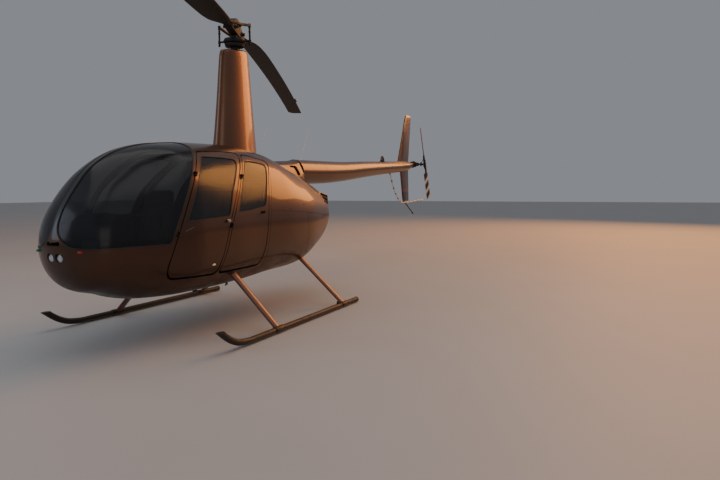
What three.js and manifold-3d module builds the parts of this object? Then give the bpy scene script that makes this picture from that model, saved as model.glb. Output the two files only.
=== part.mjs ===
import * as THREE from 'three';
import { mergeVertices } from 'three/addons/utils/BufferGeometryUtils.js';
import Module from 'manifold-3d';

const wasm = await Module();
wasm.setup();

// A four-seat piston helicopter parked on its skids, in millimetres.
// +X is forward, +Y is the port side, +Z is up. All places below are measured from the foot of the
// main rotor's axis on the ground; AXIS_X then moves the whole machine so that its box is centred.
const AXIS_X = 765;

// Fuselage: sections from nose to rear tip, each half of a section is a superellipse.
// Columns: x, lowest z, highest z, z of the widest line, half width, upper power, lower power.
const BODY = [
  [2427, 900, 980, 940, 50, 2.0, 2.0],
  [2370, 700, 1180, 930, 226, 2.0, 2.2],
  [2250, 563, 1366, 930, 382, 1.9, 2.05],
  [2050, 502, 1580, 930, 466, 1.9, 2.1],
  [1750, 418, 1736, 940, 564, 1.95, 2.6],
  [1350, 396, 1817, 950, 641, 2.3, 2.9],
  [900, 390, 1850, 960, 641, 2.25, 2.9],
  [400, 396, 1860, 970, 631, 2.35, 2.8],
  [-100, 419, 1813, 980, 636, 2.35, 2.6],
  [-600, 440, 1680, 1000, 616, 2.2, 2.75],
  [-1050, 561, 1546, 1030, 539, 2.15, 2.6],
  [-1400, 727, 1427, 1070, 442, 2.05, 2.3],
  [-1585, 937, 1295, 1120, 251, 2.05, 2.1],
  [-1649, 1080, 1200, 1140, 50, 2.0, 2.0],
];
const BODY_STATIONS = [2427, 2400, 2340, 2230, 2080, 1880, 1640, 1350, 1050, 700, 350, 0, -350, -700, -1050,
  -1350, -1530, -1615, -1649];
const BODY_SIDES = 24;
const WALL = 25;
const TOUCH = 0.3;

// Outlines on the fuselage seen from the side, as x and z.
const SILL_Z = 913;
const SCREEN_REAR = [[1722, SILL_Z], [1681, 1019], [1631, 1118], [1567, 1235], [1495, 1354], [1423, 1460],
  [1338, 1560], [1248, 1653], [1142, 1745], [1095, 1790], [1085, 1900]];
const DOOR_FRONT = [[1700, 615], [1738, 665], [1742, 735], [1722, 815], [1670, 955], [1606, 1103], [1541, 1230],
  [1468, 1355], [1390, 1460], [1306, 1560], [1213, 1656], [1130, 1722]];
const RAIL_FRONT = [[1090, 1744], [789, 1762], [560, 1758]];
const B_LINE = [[475, 1746], [528, 1686], [719, 1477], [858, 1280], [948, 1126], [1009, 981], [1070, 811],
  [1146, 600]];
const RAIL_REAR = [[293, 1734], [144, 1706], [50, 1690]];
const DOOR_REAR = [[45, 1655], [128, 1570], [208, 1479], [286, 1273], [314, 1141], [343, 952], [385, 748],
  [412, 650], [450, 600]];
const FRONT_WINDOW = [[1095, 1702], [820, 1702], [704, 1698], [622, 1688], [620, 1652], [763, 1499], [882, 1357],
  [940, 1235], [985, 1140], [1010, 1124], [1299, 1113], [1545, 1103], [1553, 1120], [1467, 1281],
  [1406, 1379], [1333, 1469], [1269, 1542], [1208, 1607], [1125, 1687]];
const REAR_WINDOW = [[450, 1680], [361, 1681], [242, 1671], [136, 1658], [116, 1630], [215, 1500], [288, 1374],
  [340, 1236], [366, 1203], [655, 1167], [828, 1160], [842, 1176], [770, 1316], [688, 1446], [555, 1600],
  [487, 1664]];

// Centre bow of the windscreen and the rounded lower inner corner, as y and z.
const BOW_HALF = 22;
const SCREEN_CORNER = [[BOW_HALF, 1900], [BOW_HALF, 1100], [36, 1046], [72, 992], [118, 946], [174, 921],
  [230, SILL_Z], [800, SILL_Z], [800, 1900]];

// Doors: gap all round, width from gap to gap of the post between them, and each hinge line by x and z
// at its upper and lower hinge. The post's own line runs AHEAD of its rear gap and behind its front gap.
const DOOR_GAP = 8;
const POST = { ahead: 14, behind: 26, depth: 20, overlap: 20 };
// Wider gap for each door's swing: under it, at the ends of its foot, and at its upper rear corner.
const SWING = {
  sill: 12, sillTop: 620, foot: 5, footTop: 760, cornerFoot: 1600,
  front: { middle: 1400, corner: 9, cornerX: 560 },
  rear: { middle: 750, corner: 14, cornerX: 60 },
};
const HINGE_PROUD = 16;
const HINGES = {
  front: { upper: [1338, 1523], lower: [1654, 1000] },
  rear: { upper: [665, 1512], lower: [968, 1040] },
};
const HINGE_R = 8;
const HANDLES = { front: [1030, 1085], rear: [430, 1105] };

// Rear bulkhead of the cabin: its front face leans aft from the floor to the roof, as x and z.
const BULKHEAD = [[372, 380], [-50, 1900]];
const FLOOR_Z = 500;

// Mast fairing: columns z, front x, rear x, half width, and how much lower its front end is than its rear end.
const FAIRING = [
  [1700, 400, -340, 162, 0],
  [1860, 378, -322, 147, 0],
  [2000, 356, -308, 137, 0],
  [2400, 304, -268, 115, 0],
  [2800, 258, -226, 97, 0],
  [2930, 240, -212, 88, 46],
  [2962, 190, -165, 62, 50],
];
const SHAFT_R = 28;
const SHAFT_BORE = SHAFT_R + 0.8;
const SHAFT_TOP = 3215;
const MAST_TUBE_R = 42;

// Raised spine from the rear cowl to the boom: columns x, top z, half width.
const SPINE = [
  [-300, 1640, 110],
  [-450, 1690, 160],
  [-600, 1724, 180],
  [-800, 1735, 186],
  [-1000, 1745, 187],
  [-1230, 1762, 184],
];
const SPINE_BASE = 1440;

// Tail boom: columns x, centre z, radius.
const BOOM = [
  [-1230, 1611, 163],
  [-1500, 1615, 162],
  [-2000, 1625, 160],
  [-2610, 1649, 148],
  [-3340, 1699, 133],
  [-4180, 1750, 115],
  [-5160, 1805, 99],
  [-5450, 1822, 88],
  [-5800, 1860, 44],
];

// Fins: columns z, front x, rear x.
const UPPER_FIN = [[1850, -5000, -5590], [1960, -5052, -5612], [2400, -5255, -5680], [2780, -5432, -5733],
  [2812, -5465, -5726]];
const LOWER_FIN = [[1147, -5318, -5618], [1175, -5300, -5630], [1450, -5228, -5616], [1790, -5138, -5598]];
const FIN_HALF = 17;
const STABILISER = { front: -5120, rear: -5450, tip: -860, tipFront: -5170, z: 1822, half: 16 };

// Main rotor: blade azimuth from +X towards +Y, radius, chord and the drooping centre line.
const ROTOR_AZIMUTH = THREE.MathUtils.degToRad(24);
const ROTOR_R = 5030;
const CHORD = 254;
const HUB_END = 330;
const BLADE_ROOT_Z = 3150;
const DROOP = 272;
// The blade's nose is turned up by this much at the axis and at the tip.
const PITCH = { axis: THREE.MathUtils.degToRad(8), tip: THREE.MathUtils.degToRad(4.5) };
const LINK = { foot: [30, 178, 2984], top: [40, 178, 3172], horn: [400, 40, 3146] };
// Columns: radius, leading edge, trailing edge, thickness.
const BLADE = [
  [HUB_END + TOUCH, 52, -60, 60],
  [420, 56, -100, 52],
  [540, 61, -148, 40],
  [760, 63, -176, 33],
  [1250, 63, CHORD * -0.75, 30],
  [2000, 63, CHORD * -0.75, 30],
  [2750, 63, CHORD * -0.75, 30],
  [3500, 63, CHORD * -0.75, 30],
  [4250, 63, CHORD * -0.75, 30],
  [4960, 63, CHORD * -0.75, 30],
  [ROTOR_R, 40, CHORD * -0.75, 22],
];

// Tail rotor on the port side of the boom's end.
const TAIL_HUB = new THREE.Vector3(-5890, 250, 1875);
const TAIL_TILT = THREE.MathUtils.degToRad(22);
const TAIL_PITCH = THREE.MathUtils.degToRad(15);
const TAIL_R = 737;
const TAIL_CHORD = 130;
const TAIL_SHAFT_R = 16;

// Landing gear: each skid tube ends in a toe that is cut off level at its top.
const SKID_Y = 1050;
const SKID_R = 30;
const SKID_Z = 34;
const SKID_PATH = [[1790, 252], [1715, 198], [1640, 143], [1560, 95], [1470, 60], [1370, 42], [1280, SKID_Z],
  [1200, SKID_Z], [400, SKID_Z], [-500, SKID_Z], [-938, SKID_Z]];
const TOE_TOP = 198;
const SHOE = { half: 150, width: 40, top: 12 };
const WHEEL_LUG = { x: [-500, -430], half: 12, z: [50, 96] };
const LEGS = { front: [823, 480, 592], rear: [-594, 400, 617] };
const LEG_CHORD = 88;
const LEG_THICK = 42;

// Guard under the tail rotor and the tail skid below it, as x, y, z.
const GUARD = [[-4560, 15, 1740], [-4620, 18, 1640], [-4790, 26, 1370], [-5040, 30, 1166], [-5140, 30, 1132],
  [-5400, 34, 1122], [-5620, 55, 1130], [-5890, 95, 1150], [-6190, 130, 1172]];
const GUARD_R = 13;
const TAIL_SKID = [[-5395, 0, 1122], [-5530, 0, 1070], [-5660, 0, 1003], [-5900, 0, 885]];
const SKID_LUG = { x: [-5425, -5365], y: [-11, 28], z: [1104, 1147 - 0.3] };

// Finishes: colour, roughness, metalness.
const FINISHES = {
  paint: ['#4b2d1e', 0.25, 0.6],
  copper: ['#8a5a3c', 0.4, 0.6],
  dark: ['#1b1a1a', 0.6, 0.2],
  black: ['#0f0f10', 0.7, 0.0],
  steel: ['#8d8f92', 0.35, 0.9],
  castMetal: ['#4a4b4d', 0.6, 0.7],
  glass: ['#a9b6ae', 0.05, 0.0],
  trim: ['#2b2a2c', 0.8, 0.0],
  leather: ['#6b665e', 0.7, 0.0],
  white: ['#d9d8d2', 0.5, 0.0],
  redLamp: ['#a01414', 0.1, 0.0],
  greenLamp: ['#127a3a', 0.1, 0.0],
  clearLamp: ['#e8e8e4', 0.05, 0.0],
};

const X = new THREE.Vector3(1, 0, 0);
const Y = new THREE.Vector3(0, 1, 0);
const Z = new THREE.Vector3(0, 0, 1);

function finish(name) {
  const [color, roughness, metalness] = FINISHES[name];
  return new THREE.MeshStandardMaterial({ color, roughness, metalness });
}

// Solids: a closed geometry becomes a manifold that can be joined and cut, and comes back as a geometry.
function solid(geometry) {
  const bare = geometry.index ? geometry.clone() : mergeVertices(geometry);
  bare.deleteAttribute('normal');
  bare.deleteAttribute('uv');
  const merged = mergeVertices(bare, 1e-3);
  const points = merged.attributes.position;
  const triVerts = new Uint32Array(merged.index.array);
  const [a, b, c] = [new THREE.Vector3(), new THREE.Vector3(), new THREE.Vector3()];
  let volume = 0;
  for (let i = 0; i < triVerts.length; i += 3) {
    a.fromBufferAttribute(points, triVerts[i]);
    b.fromBufferAttribute(points, triVerts[i + 1]);
    c.fromBufferAttribute(points, triVerts[i + 2]);
    volume += a.dot(b.cross(c));
  }
  if (volume < 0) triVerts.forEach((v, i) => { if (i % 3 === 1) [triVerts[i], triVerts[i + 1]] = [triVerts[i + 1], v]; });
  return new wasm.Manifold(new wasm.Mesh({
    numProp: 3, vertProperties: new Float32Array(points.array), triVerts,
  }));
}

function geometryOf(shape) {
  const mesh = shape.getMesh();
  const geometry = new THREE.BufferGeometry();
  geometry.setAttribute('position', new THREE.Float32BufferAttribute(mesh.vertProperties, 3));
  geometry.setIndex([...mesh.triVerts]);
  geometry.computeVertexNormals();
  return geometry;
}

function joined(...shapes) {
  return shapes.reduce((all, shape) => all.add(shape));
}

// The same solid on the other side of the plane Y = 0.
function mirrored(shape) {
  return solid(geometryOf(shape).scale(1, -1, 1));
}

// Rings of equal length joined into a skin, with a fan of triangles closing each end.
function loft(rings) {
  const count = rings[0].length;
  const centres = [rings[0], rings.at(-1)].map(
    (ring) => ring.reduce((sum, p) => sum.add(p), new THREE.Vector3()).divideScalar(count));
  const points = [...rings.flat(), ...centres];
  const index = [];
  for (let k = 0; k < count; k += 1) {
    const next = (k + 1) % count;
    for (let i = 0; i + 1 < rings.length; i += 1) {
      const [p, q] = [i * count, (i + 1) * count];
      index.push(p + k, p + next, q + k, p + next, q + next, q + k);
    }
    const last = (rings.length - 1) * count;
    index.push(points.length - 2, next, k, points.length - 1, last + k, last + next);
  }
  const geometry = new THREE.BufferGeometry().setFromPoints(points);
  geometry.setIndex(index);
  return solid(geometry);
}

// Outlines: every side of a closed polygon moved inwards by a distance, or outwards if it is negative.
function inset(points, distance) {
  const turn = Math.sign(THREE.ShapeUtils.area(points.map(([u, v]) => new THREE.Vector2(u, v))));
  const normals = points.map(([u, v], i) => {
    const [s, t] = points[(i + 1) % points.length];
    return new THREE.Vector2(-(t - v), s - u).normalize().multiplyScalar(turn);
  });
  return points.map(([u, v], i) => {
    const before = normals[(i + points.length - 1) % points.length];
    const after = normals[i];
    const step = before.clone().add(after).multiplyScalar(distance / (1 + before.dot(after)));
    return [u + step.x, v + step.y];
  });
}

// Prisms of an outline carried along one axis: side view along Y, front view along X, plan along Z.
function prism(points, depth) {
  const shape = new THREE.Shape(points.map(([u, v]) => new THREE.Vector2(u, v)));
  return new THREE.ExtrudeGeometry(shape, { depth, bevelEnabled: false });
}

function prismY(points, low, high) {
  return solid(prism(points, high - low).rotateX(Math.PI / 2).translate(0, high, 0));
}

function prismX(points, low, high) {
  const turn = new THREE.Matrix4().makeBasis(Y, Z, X);
  return solid(prism(points, high - low).applyMatrix4(turn).translate(low, 0, 0));
}

function block([x0, x1], [y0, y1], [z0, z1]) {
  const geometry = new THREE.BoxGeometry(x1 - x0, y1 - y0, z1 - z0);
  return solid(geometry.translate((x0 + x1) / 2, (y0 + y1) / 2, (z0 + z1) / 2));
}

// A round bar from one point to another.
function rod(from, to, radius, sides = 12, endRadius = radius) {
  const [a, b] = [new THREE.Vector3(...from), new THREE.Vector3(...to)];
  const along = b.clone().sub(a);
  const turn = new THREE.Quaternion().setFromUnitVectors(Y, along.clone().normalize());
  const geometry = new THREE.CylinderGeometry(endRadius, radius, along.length(), sides);
  const middle = a.add(b).divideScalar(2);
  return solid(geometry.applyQuaternion(turn).translate(middle.x, middle.y, middle.z));
}

// A tube along a smooth curve, its flats facing along the curve's normals.
function tube(points, radius, sides, steps) {
  const outer = radius / Math.cos(Math.PI / sides);
  const section = new THREE.Shape(Array.from({ length: sides }, (_, k) => {
    const angle = (2 * Math.PI * (k + 0.5)) / sides;
    return new THREE.Vector2(outer * Math.cos(angle), outer * Math.sin(angle));
  }));
  const extrudePath = new THREE.CatmullRomCurve3(points.map((p) => new THREE.Vector3(...p)), false, 'centripetal');
  return solid(new THREE.ExtrudeGeometry(section, { steps, extrudePath, bevelEnabled: false }));
}

// A turned shape about a vertical axis, from a closed outline of radius and z.
function turned(outline, sides) {
  const profile = [...outline, outline[0]].map(([r, z]) => new THREE.Vector2(r, z));
  return solid(new THREE.LatheGeometry(profile, sides).rotateX(Math.PI / 2));
}

// Smooth curve through a table's column that never overshoots its points (Fritsch and Carlson's slopes).
function smooth(xs, ys) {
  const order = xs.map((_, i) => i).sort((i, j) => xs[i] - xs[j]);
  const [px, py] = [order.map((i) => xs[i]), order.map((i) => ys[i])];
  const steps = px.slice(1).map((x, i) => x - px[i]);
  const slopes = steps.map((step, i) => (py[i + 1] - py[i]) / step);
  const tangents = px.map((_, i) => {
    if (i === 0) return slopes[0];
    if (i === px.length - 1) return slopes.at(-1);
    if (slopes[i - 1] * slopes[i] <= 0) return 0;
    const [a, b] = [2 * steps[i] + steps[i - 1], steps[i] + 2 * steps[i - 1]];
    return (a + b) / (a / slopes[i - 1] + b / slopes[i]);
  });
  return (x) => {
    const i = Math.min(Math.max(px.findIndex((p) => p >= x) - 1, 0), steps.length - 1);
    const t = (x - px[i]) / steps[i];
    const [t2, t3] = [t * t, t * t * t];
    return (2 * t3 - 3 * t2 + 1) * py[i] + (t3 - 2 * t2 + t) * steps[i] * tangents[i]
      + (3 * t2 - 2 * t3) * py[i + 1] + (t3 - t2) * steps[i] * tangents[i + 1];
  };
}

const column = (table, k) => table.map((row) => row[k]);
const bodyCurve = [1, 2, 3, 4, 5, 6].map((k) => smooth(column(BODY, 0), column(BODY, k)));

// The fuselage's section at x, moved in from the skin by a depth measured along the skin's normal.
function bodyRing(x, depth) {
  const [low, high, wide, half, upper, lower] = bodyCurve.map((curve) => curve(x));
  const slope = (bodyCurve[3](x + 5) - bodyCurve[3](x - 5)) / 10;
  const edge = x === BODY[0][0] || x === BODY.at(-1)[0];
  const lean = edge ? Math.sign(-x) : slope / Math.hypot(1, slope);
  const side = depth * (edge ? 0.3 : 1 / Math.hypot(1, slope));
  return Array.from({ length: BODY_SIDES }, (_, k) => {
    const angle = (2 * Math.PI * k) / BODY_SIDES;
    const [c, s] = [Math.cos(angle), Math.sin(angle)];
    const power = 2 / (s >= 0 ? upper : lower);
    const reach = (s >= 0 ? high - wide : wide - low) - side;
    return new THREE.Vector3(x + depth * lean, Math.sign(c) * (half - side) * Math.abs(c) ** power,
      wide + Math.sign(s) * reach * Math.abs(s) ** power);
  });
}

function body(depth) {
  return loft(BODY_STATIONS.map((x) => bodyRing(x, depth)));
}

// Half width of the fuselage's skin at x and z.
function skinY(x, z) {
  const [low, high, wide, half, upper, lower] = bodyCurve.map((curve) => curve(x));
  const [reach, power] = z >= wide ? [high - wide, upper] : [wide - low, lower];
  return half * Math.max(0, 1 - Math.abs((z - wide) / reach) ** power) ** (1 / power);
}

// An ellipse in plan at height z, from its front and rear x and half width, its front end dropped.
function planRing(z, front, rear, half, drop, sides) {
  const [middle, reach] = [(front + rear) / 2, (front - rear) / 2];
  return Array.from({ length: sides }, (_, k) => {
    const angle = (2 * Math.PI * k) / sides;
    const ahead = (1 + Math.cos(angle)) / 2;
    return new THREE.Vector3(middle + reach * Math.cos(angle), half * Math.sin(angle), z - drop * ahead);
  });
}

// Half thickness of a symmetrical aerofoil at part t of its chord, from 0 to 1, for a thickness of 1.
function aerofoil(t) {
  return 5 * (0.2969 * Math.sqrt(t) - 0.126 * t - 0.3516 * t ** 2 + 0.2843 * t ** 3 - 0.1036 * t ** 4);
}

// Points round an aerofoil section: chordwise place and height.
function aerofoilSection(lead, trail, thickness) {
  const parts = [0, 0.03, 0.12, 0.3, 0.55, 0.8, 1];
  const upper = parts.map((t) => [lead + (trail - lead) * t, thickness * Math.max(aerofoil(t), 0.02 * (t > 0))]);
  return [...upper, ...upper.slice(1).reverse().map(([u, h]) => [u, -h])];
}

// The fuselage and its openings
const skin = body(0);
const grownSkin = body(-TOUCH);
const lining = body(WALL);
const pane = body(4).subtract(body(9));

const bLine = (shift) => B_LINE.map(([x, z]) => [x + shift, z]);
const doorOutlines = {
  front: [...DOOR_FRONT, ...RAIL_FRONT, ...bLine(POST.ahead)],
  rear: [...bLine(-POST.behind).reverse(), ...RAIL_REAR, ...DOOR_REAR],
};
const windowOutlines = { front: FRONT_WINDOW, rear: REAR_WINDOW };
const screenOutline = [...SCREEN_REAR, [2500, 1900], [2500, SILL_Z]];

function screenRegion(margin) {
  const side = prismY(inset(screenOutline, margin), 0, 800);
  const front = prismX(inset(SCREEN_CORNER, margin), 1000, 2600);
  return side.intersect(front);
}

function doorRegion(name) {
  return prismY(inset(doorOutlines[name], DOOR_GAP / 2), 200, 800);
}

function doorway(name) {
  const { middle, corner, cornerX } = SWING[name];
  const outline = doorOutlines[name].map(([x, z]) => {
    if (z < SWING.footTop) {
      return [x + Math.sign(x - middle) * SWING.foot, z < SWING.sillTop ? z - SWING.sill : z];
    }
    return x < cornerX && z > SWING.cornerFoot ? [x - corner, z] : [x, z];
  });
  return prismY(inset(outline, -DOOR_GAP / 2), 200, 800);
}

function hingeAxis(name) {
  const [upper, lower] = [HINGES[name].upper, HINGES[name].lower].map(
    ([x, z]) => new THREE.Vector3(x, skinY(x, z) + HINGE_PROUD, z));
  return { upper, lower, down: lower.clone().sub(upper).normalize() };
}

// Hinge parts along a door's axis: one barrel on the door between two lugs on the frame, at each hinge.
// The barrel's web lies aft of the axis and the lugs' webs lie ahead of it.
function hingePieces(name) {
  const { upper, lower, down } = hingeAxis(name);
  const aft = new THREE.Vector3(-1, 0, 0).addScaledVector(down, down.x).normalize();
  const inward = new THREE.Vector3().crossVectors(down, aft).normalize();
  if (inward.y > 0) inward.negate();
  const knuckle = (centre, from, to, way) => {
    const [a, b] = [from, to].map((s) => centre.clone().addScaledVector(down, s));
    const web = new THREE.BoxGeometry(20, to - from, 2 * HINGE_R - 6);
    const turn = new THREE.Matrix4().makeBasis(aft, down, new THREE.Vector3().crossVectors(aft, down));
    const middle = a.clone().add(b).divideScalar(2).addScaledVector(aft, way * 10).addScaledVector(inward, 7);
    const bar = solid(web.applyMatrix4(turn).translate(middle.x, middle.y, middle.z));
    const foot = middle.clone().addScaledVector(aft, way * 4).addScaledVector(inward, 25);
    const pad = new THREE.BoxGeometry(12, to - from, 56).applyMatrix4(turn).translate(foot.x, foot.y, foot.z);
    return joined(rod(a.toArray(), b.toArray(), HINGE_R, 10), bar, solid(pad));
  };
  const barrels = joined(...[upper, lower].map((centre) => knuckle(centre, -20, 20, 1)));
  const lugs = joined(...[upper, lower].flatMap(
    (centre) => [knuckle(centre, -34, -20 - TOUCH, -1), knuckle(centre, 20 + TOUCH, 34, -1)]));
  return { barrels, lugs };
}

function handle(name) {
  const [x, z] = HANDLES[name];
  const y = skinY(x, z);
  return joined(rod([x, y - 6, z], [x, y + 16, z], 9, 8), rod([x, y + 12, z], [x, y + 26, z], 17, 12));
}

function door(name) {
  const panel = skin.subtract(lining).intersect(doorRegion(name));
  const opening = prismY(windowOutlines[name], 200, 800);
  return joined(panel.subtract(opening), hingePieces(name).barrels.subtract(lining), handle(name));
}

function doorWindow(name) {
  return pane.intersect(prismY(inset(windowOutlines[name], TOUCH), 200, 800));
}

// Thick inner side of the post between the doors, tied to the wall above and below them.
function doorPost() {
  const front = bLine(POST.ahead - DOOR_GAP / 2);
  const rear = bLine(DOOR_GAP / 2 - POST.behind);
  for (const line of [front, rear]) {
    line[0][1] += POST.overlap;
    line.at(-1)[1] -= POST.overlap;
  }
  return body(WALL - 5).subtract(body(WALL + POST.depth)).intersect(prismY([...front, ...rear.reverse()], 150, 800));
}

function fuselageShell() {
  const [foot, head] = BULKHEAD;
  const back = [[foot[0] - WALL, foot[1]], [head[0] - WALL, head[1]]];
  const cabin = lining.intersect(prismY([foot, head, [2500, 1900], [2500, 380]], -800, 800));
  const bay = lining.intersect(prismY([back[0], back[1], [-1700, 1900], [-1700, 380]], -800, 800));
  const posts = joined(doorPost(), mirrored(doorPost()));
  const doorways = joined(doorway('front'), doorway('rear'));
  const screens = screenRegion(0);
  const lugs = joined(hingePieces('front').lugs, hingePieces('rear').lugs).subtract(lining);
  const fanMouth = rod([-1800, 0, 1075], [-1300, 0, 1075], 180, 28);
  const bellyMouth = block([-900, -220], [-200, 200], [380, 560]);
  return skin.subtract(cabin).subtract(bay).add(posts)
    .subtract(joined(doorways, mirrored(doorways), screens, mirrored(screens), fanMouth, bellyMouth))
    .add(lugs).add(mirrored(lugs));
}

// Cabin fittings
const FRONT_BASE = { x: [1000, 1420], y: [70, 490], top: 715 };
const REAR_BASE = { x: [330, 700], half: 540, top: 735 };
const SEAT_CLEAR = 8;
const CUSHION = 75;

// A leaning board from a foot to a head in side view, its foot cut off level.
function leanBox(foot, head, thickness, low, high) {
  const along = new THREE.Vector2(head[0] - foot[0], head[1] - foot[1]).normalize();
  return prismY([foot, head, [head[0] + along.y * thickness, head[1] - along.x * thickness],
    [foot[0] + thickness / along.y, foot[1]]], low, high);
}

const inside = body(WALL + TOUCH);
const seatRoom = body(WALL + SEAT_CLEAR);
const roomAhead = prismY([[BULKHEAD[0][0] + TOUCH, BULKHEAD[0][1]], [BULKHEAD[1][0] + TOUCH, BULKHEAD[1][1]],
  [2500, 1900], [2500, 380]], -800, 800);
const cabinRoom = inside.intersect(roomAhead);

function cabinFloor() {
  const floor = block([0, 2250], [-640, 640], [380, FLOOR_Z]);
  const { x, y, top } = FRONT_BASE;
  const fronts = [y, [-y[1], -y[0]]].map((side) => block(x, side, [FLOOR_Z - 10, top]));
  const rear = block([0, REAR_BASE.x[1]], [-REAR_BASE.half, REAR_BASE.half], [FLOOR_Z - 10, REAR_BASE.top]);
  return joined(floor, joined(rear, ...fronts).intersect(seatRoom)).intersect(cabinRoom);
}

function console_() {
  const stand = prismY([[1800, FLOOR_Z + TOUCH], [2110, FLOOR_Z + TOUCH], [2120, 780], [2050, 1000], [1900, 1000],
    [1845, 780]], -110, 110);
  const head = prismY([[1900, 960], [2080, 960], [2060, 1110], [1985, 1172], [1868, 1180], [1862, 1160]], -235, 235);
  return joined(stand, head).intersect(cabinRoom);
}

const FRONT_BACK = { foot: [1004, FRONT_BASE.top + CUSHION + 2 * TOUCH], head: [868, 1390], thickness: 90, y: [80, 510] };
const bulkheadX = (z) => THREE.MathUtils.mapLinear(z, BULKHEAD[0][1], BULKHEAD[1][1], BULKHEAD[0][0], BULKHEAD[1][0]);
const rearSeatTop = REAR_BASE.top + CUSHION + TOUCH;
const REAR_BACK = {
  foot: [bulkheadX(rearSeatTop) + TOUCH, rearSeatTop], head: [bulkheadX(1470) + TOUCH, 1470], thickness: 95, half: 540,
};

function cyclic() {
  return joined(
    rod([1500, 0, FLOOR_Z + TOUCH], [1500, 0, 530], 42, 16, 24),
    tube([[1500, 0, 510], [1540, 0, 700], [1590, 0, 950], [1600, 0, 1120]], 15, 8, 14),
    rod([1600, -330, 1150], [1600, 330, 1150], 13, 10),
    rod([1600, 0, 1100], [1600, 0, 1165], 20, 12),
    ...[-330, 330].map((y) => rod([1600, y, 1170], [1580, y, 1040], 17, 10)),
  );
}

// A lever beside a seat, its pivot against the seat's base on the side away from the lever.
function collective(y, base) {
  return joined(rod([1180, y, 640], [1490, y, 790], 13, 10), rod([1200, base, 648], [1200, y, 648], 16, 10));
}

// Two pedals on a cross bar that is carried by the console.
function pedals() {
  const bar = rod([1930, 110 + TOUCH, 610], [1930, 325, 610], 10, 10);
  return joined(bar, ...[175, 295].map((y) => joined(
    rod([1930, y, 610], [1965, y, 690], 9, 8), leanBox([1950, 640], [1985, 745], 14, y - 36, y + 36))));
}

// Engine as one plain block, held by two bearers that reach the rear bulkhead.
function engine() {
  const [foot, head] = BULKHEAD.map(([x, z]) => [x - WALL - TOUCH, z]);
  const bay = prismY([foot, head, [-1700, 1900], [-1700, 380]], -800, 800);
  const bearers = [-300, 300].map((y) => block([-200, 400], [y - 25, y + 25], [780, 840]));
  return joined(block([-950, -150], [-380, 380], [680, 1080]), ...bearers).intersect(bay).intersect(inside);
}

// Roof and tail
function fairingSolid(margin) {
  return loft(FAIRING.map(([z, front, rear, half, drop]) => planRing(
    z, front + margin, rear - margin, half + margin, drop, 20)));
}

function spineSolid(margin) {
  const rings = SPINE.map(([x, top, half]) => Array.from({ length: 20 }, (_, k) => {
    const angle = (Math.PI * k) / 19;
    return new THREE.Vector3(x + (x === SPINE[0][0] ? margin : 0), (half + margin) * Math.cos(angle),
      Math.max(SPINE_BASE, SPINE_BASE + (top + margin - SPINE_BASE) * Math.sin(angle) ** 0.8));
  }));
  return loft(rings);
}

// The boom, grown by a margin all round and at its front end.
function boomSolid(margin) {
  const centre = smooth(column(BOOM, 0), column(BOOM, 1));
  const radius = smooth(column(BOOM, 0), column(BOOM, 2));
  const stations = column(BOOM, 0).flatMap((x, i, all) => (i ? [(x + all[i - 1]) / 2, x] : [x]));
  return loft(stations.map((x, i) => Array.from({ length: 24 }, (_, k) => {
    const angle = (2 * Math.PI * k) / 24;
    const r = radius(x) + margin;
    return new THREE.Vector3(x + (i ? 0 : margin), r * Math.cos(angle), centre(x) + r * Math.sin(angle));
  })));
}

const fairing = fairingSolid(0);
const grownSpine = spineSolid(TOUCH);
const spine = spineSolid(0).subtract(grownSkin);
const grownBoom = boomSolid(TOUCH);

function finSolid(table) {
  return loft(table.map(([z, front, rear]) => {
    const section = aerofoilSection(front, rear, FIN_HALF * 2);
    return section.map(([x, y]) => new THREE.Vector3(x, y, z));
  }));
}

function stabiliser() {
  const { front, rear, tip, tipFront, z, half } = STABILISER;
  const section = (y, lead) => aerofoilSection(lead, rear, half * 2).map(([x, h]) => new THREE.Vector3(x, y, z + h));
  return loft([section(-20, front), section(tip + 20, tipFront), section(tip, tipFront - 30)]);
}

function tailGearbox() {
  const { x, z } = TAIL_HUB;
  return joined(
    rod([-5800 - TOUCH, 0, 1860], [-5860, 0, 1860], 44, 20, 54),
    rod([x, -62, z], [x, 70, z], 58, 24),
    rod([x, 60, z], [x, 120, z], 34, 20),
  ).subtract(rod([x, 66, z], [x, 130, z], TAIL_SHAFT_R + 0.7, 24));
}

// Rotors, in frames of their own: the main rotor's blades lie along X, the tail rotor's along Z.
function bladeLine(r) {
  return BLADE_ROOT_Z - DROOP * (r / ROTOR_R) ** 2;
}

// A blade with the horn by which its pitch link turns it.
function mainBlade() {
  const panel = loft(BLADE.map(([r, lead, trail, thickness]) => {
    const pitch = THREE.MathUtils.lerp(PITCH.axis, PITCH.tip, r / ROTOR_R);
    const [c, s] = [Math.cos(pitch), Math.sin(pitch)];
    return aerofoilSection(lead, trail, thickness).map(
      ([y, h]) => new THREE.Vector3(r, y * c - h * s, bladeLine(r) + y * s + h * c));
  }));
  const [foot, top] = [new THREE.Vector3(...LINK.foot), new THREE.Vector3(...LINK.top)];
  const up = top.clone().sub(foot).normalize();
  const at = (distance) => top.clone().addScaledVector(up, distance).toArray();
  return joined(panel, rod(at(TOUCH), at(42), 16, 10), rod(at(24), LINK.horn, 15, 8));
}

function hub() {
  const half = [[0, 3098], [HUB_END, BLADE_ROOT_Z - 42], [HUB_END, BLADE_ROOT_Z + 42], [205, 3196], [95, 3262],
    [0, 3276]];
  const outline = [...half, ...half.slice(1, -1).reverse().map(([r, z]) => [-r, z])];
  const bar = prismY(outline, -46, 46);
  const bolts = joined(...[0, 175, -175].map((r) => rod([r, -82, r ? 3150 : 3210], [r, 82, r ? 3150 : 3210], 20, 16)));
  return joined(bar, bolts).subtract(rod([0, 0, 3000], [0, 0, SHAFT_TOP + TOUCH], SHAFT_R + TOUCH, 32));
}

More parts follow.
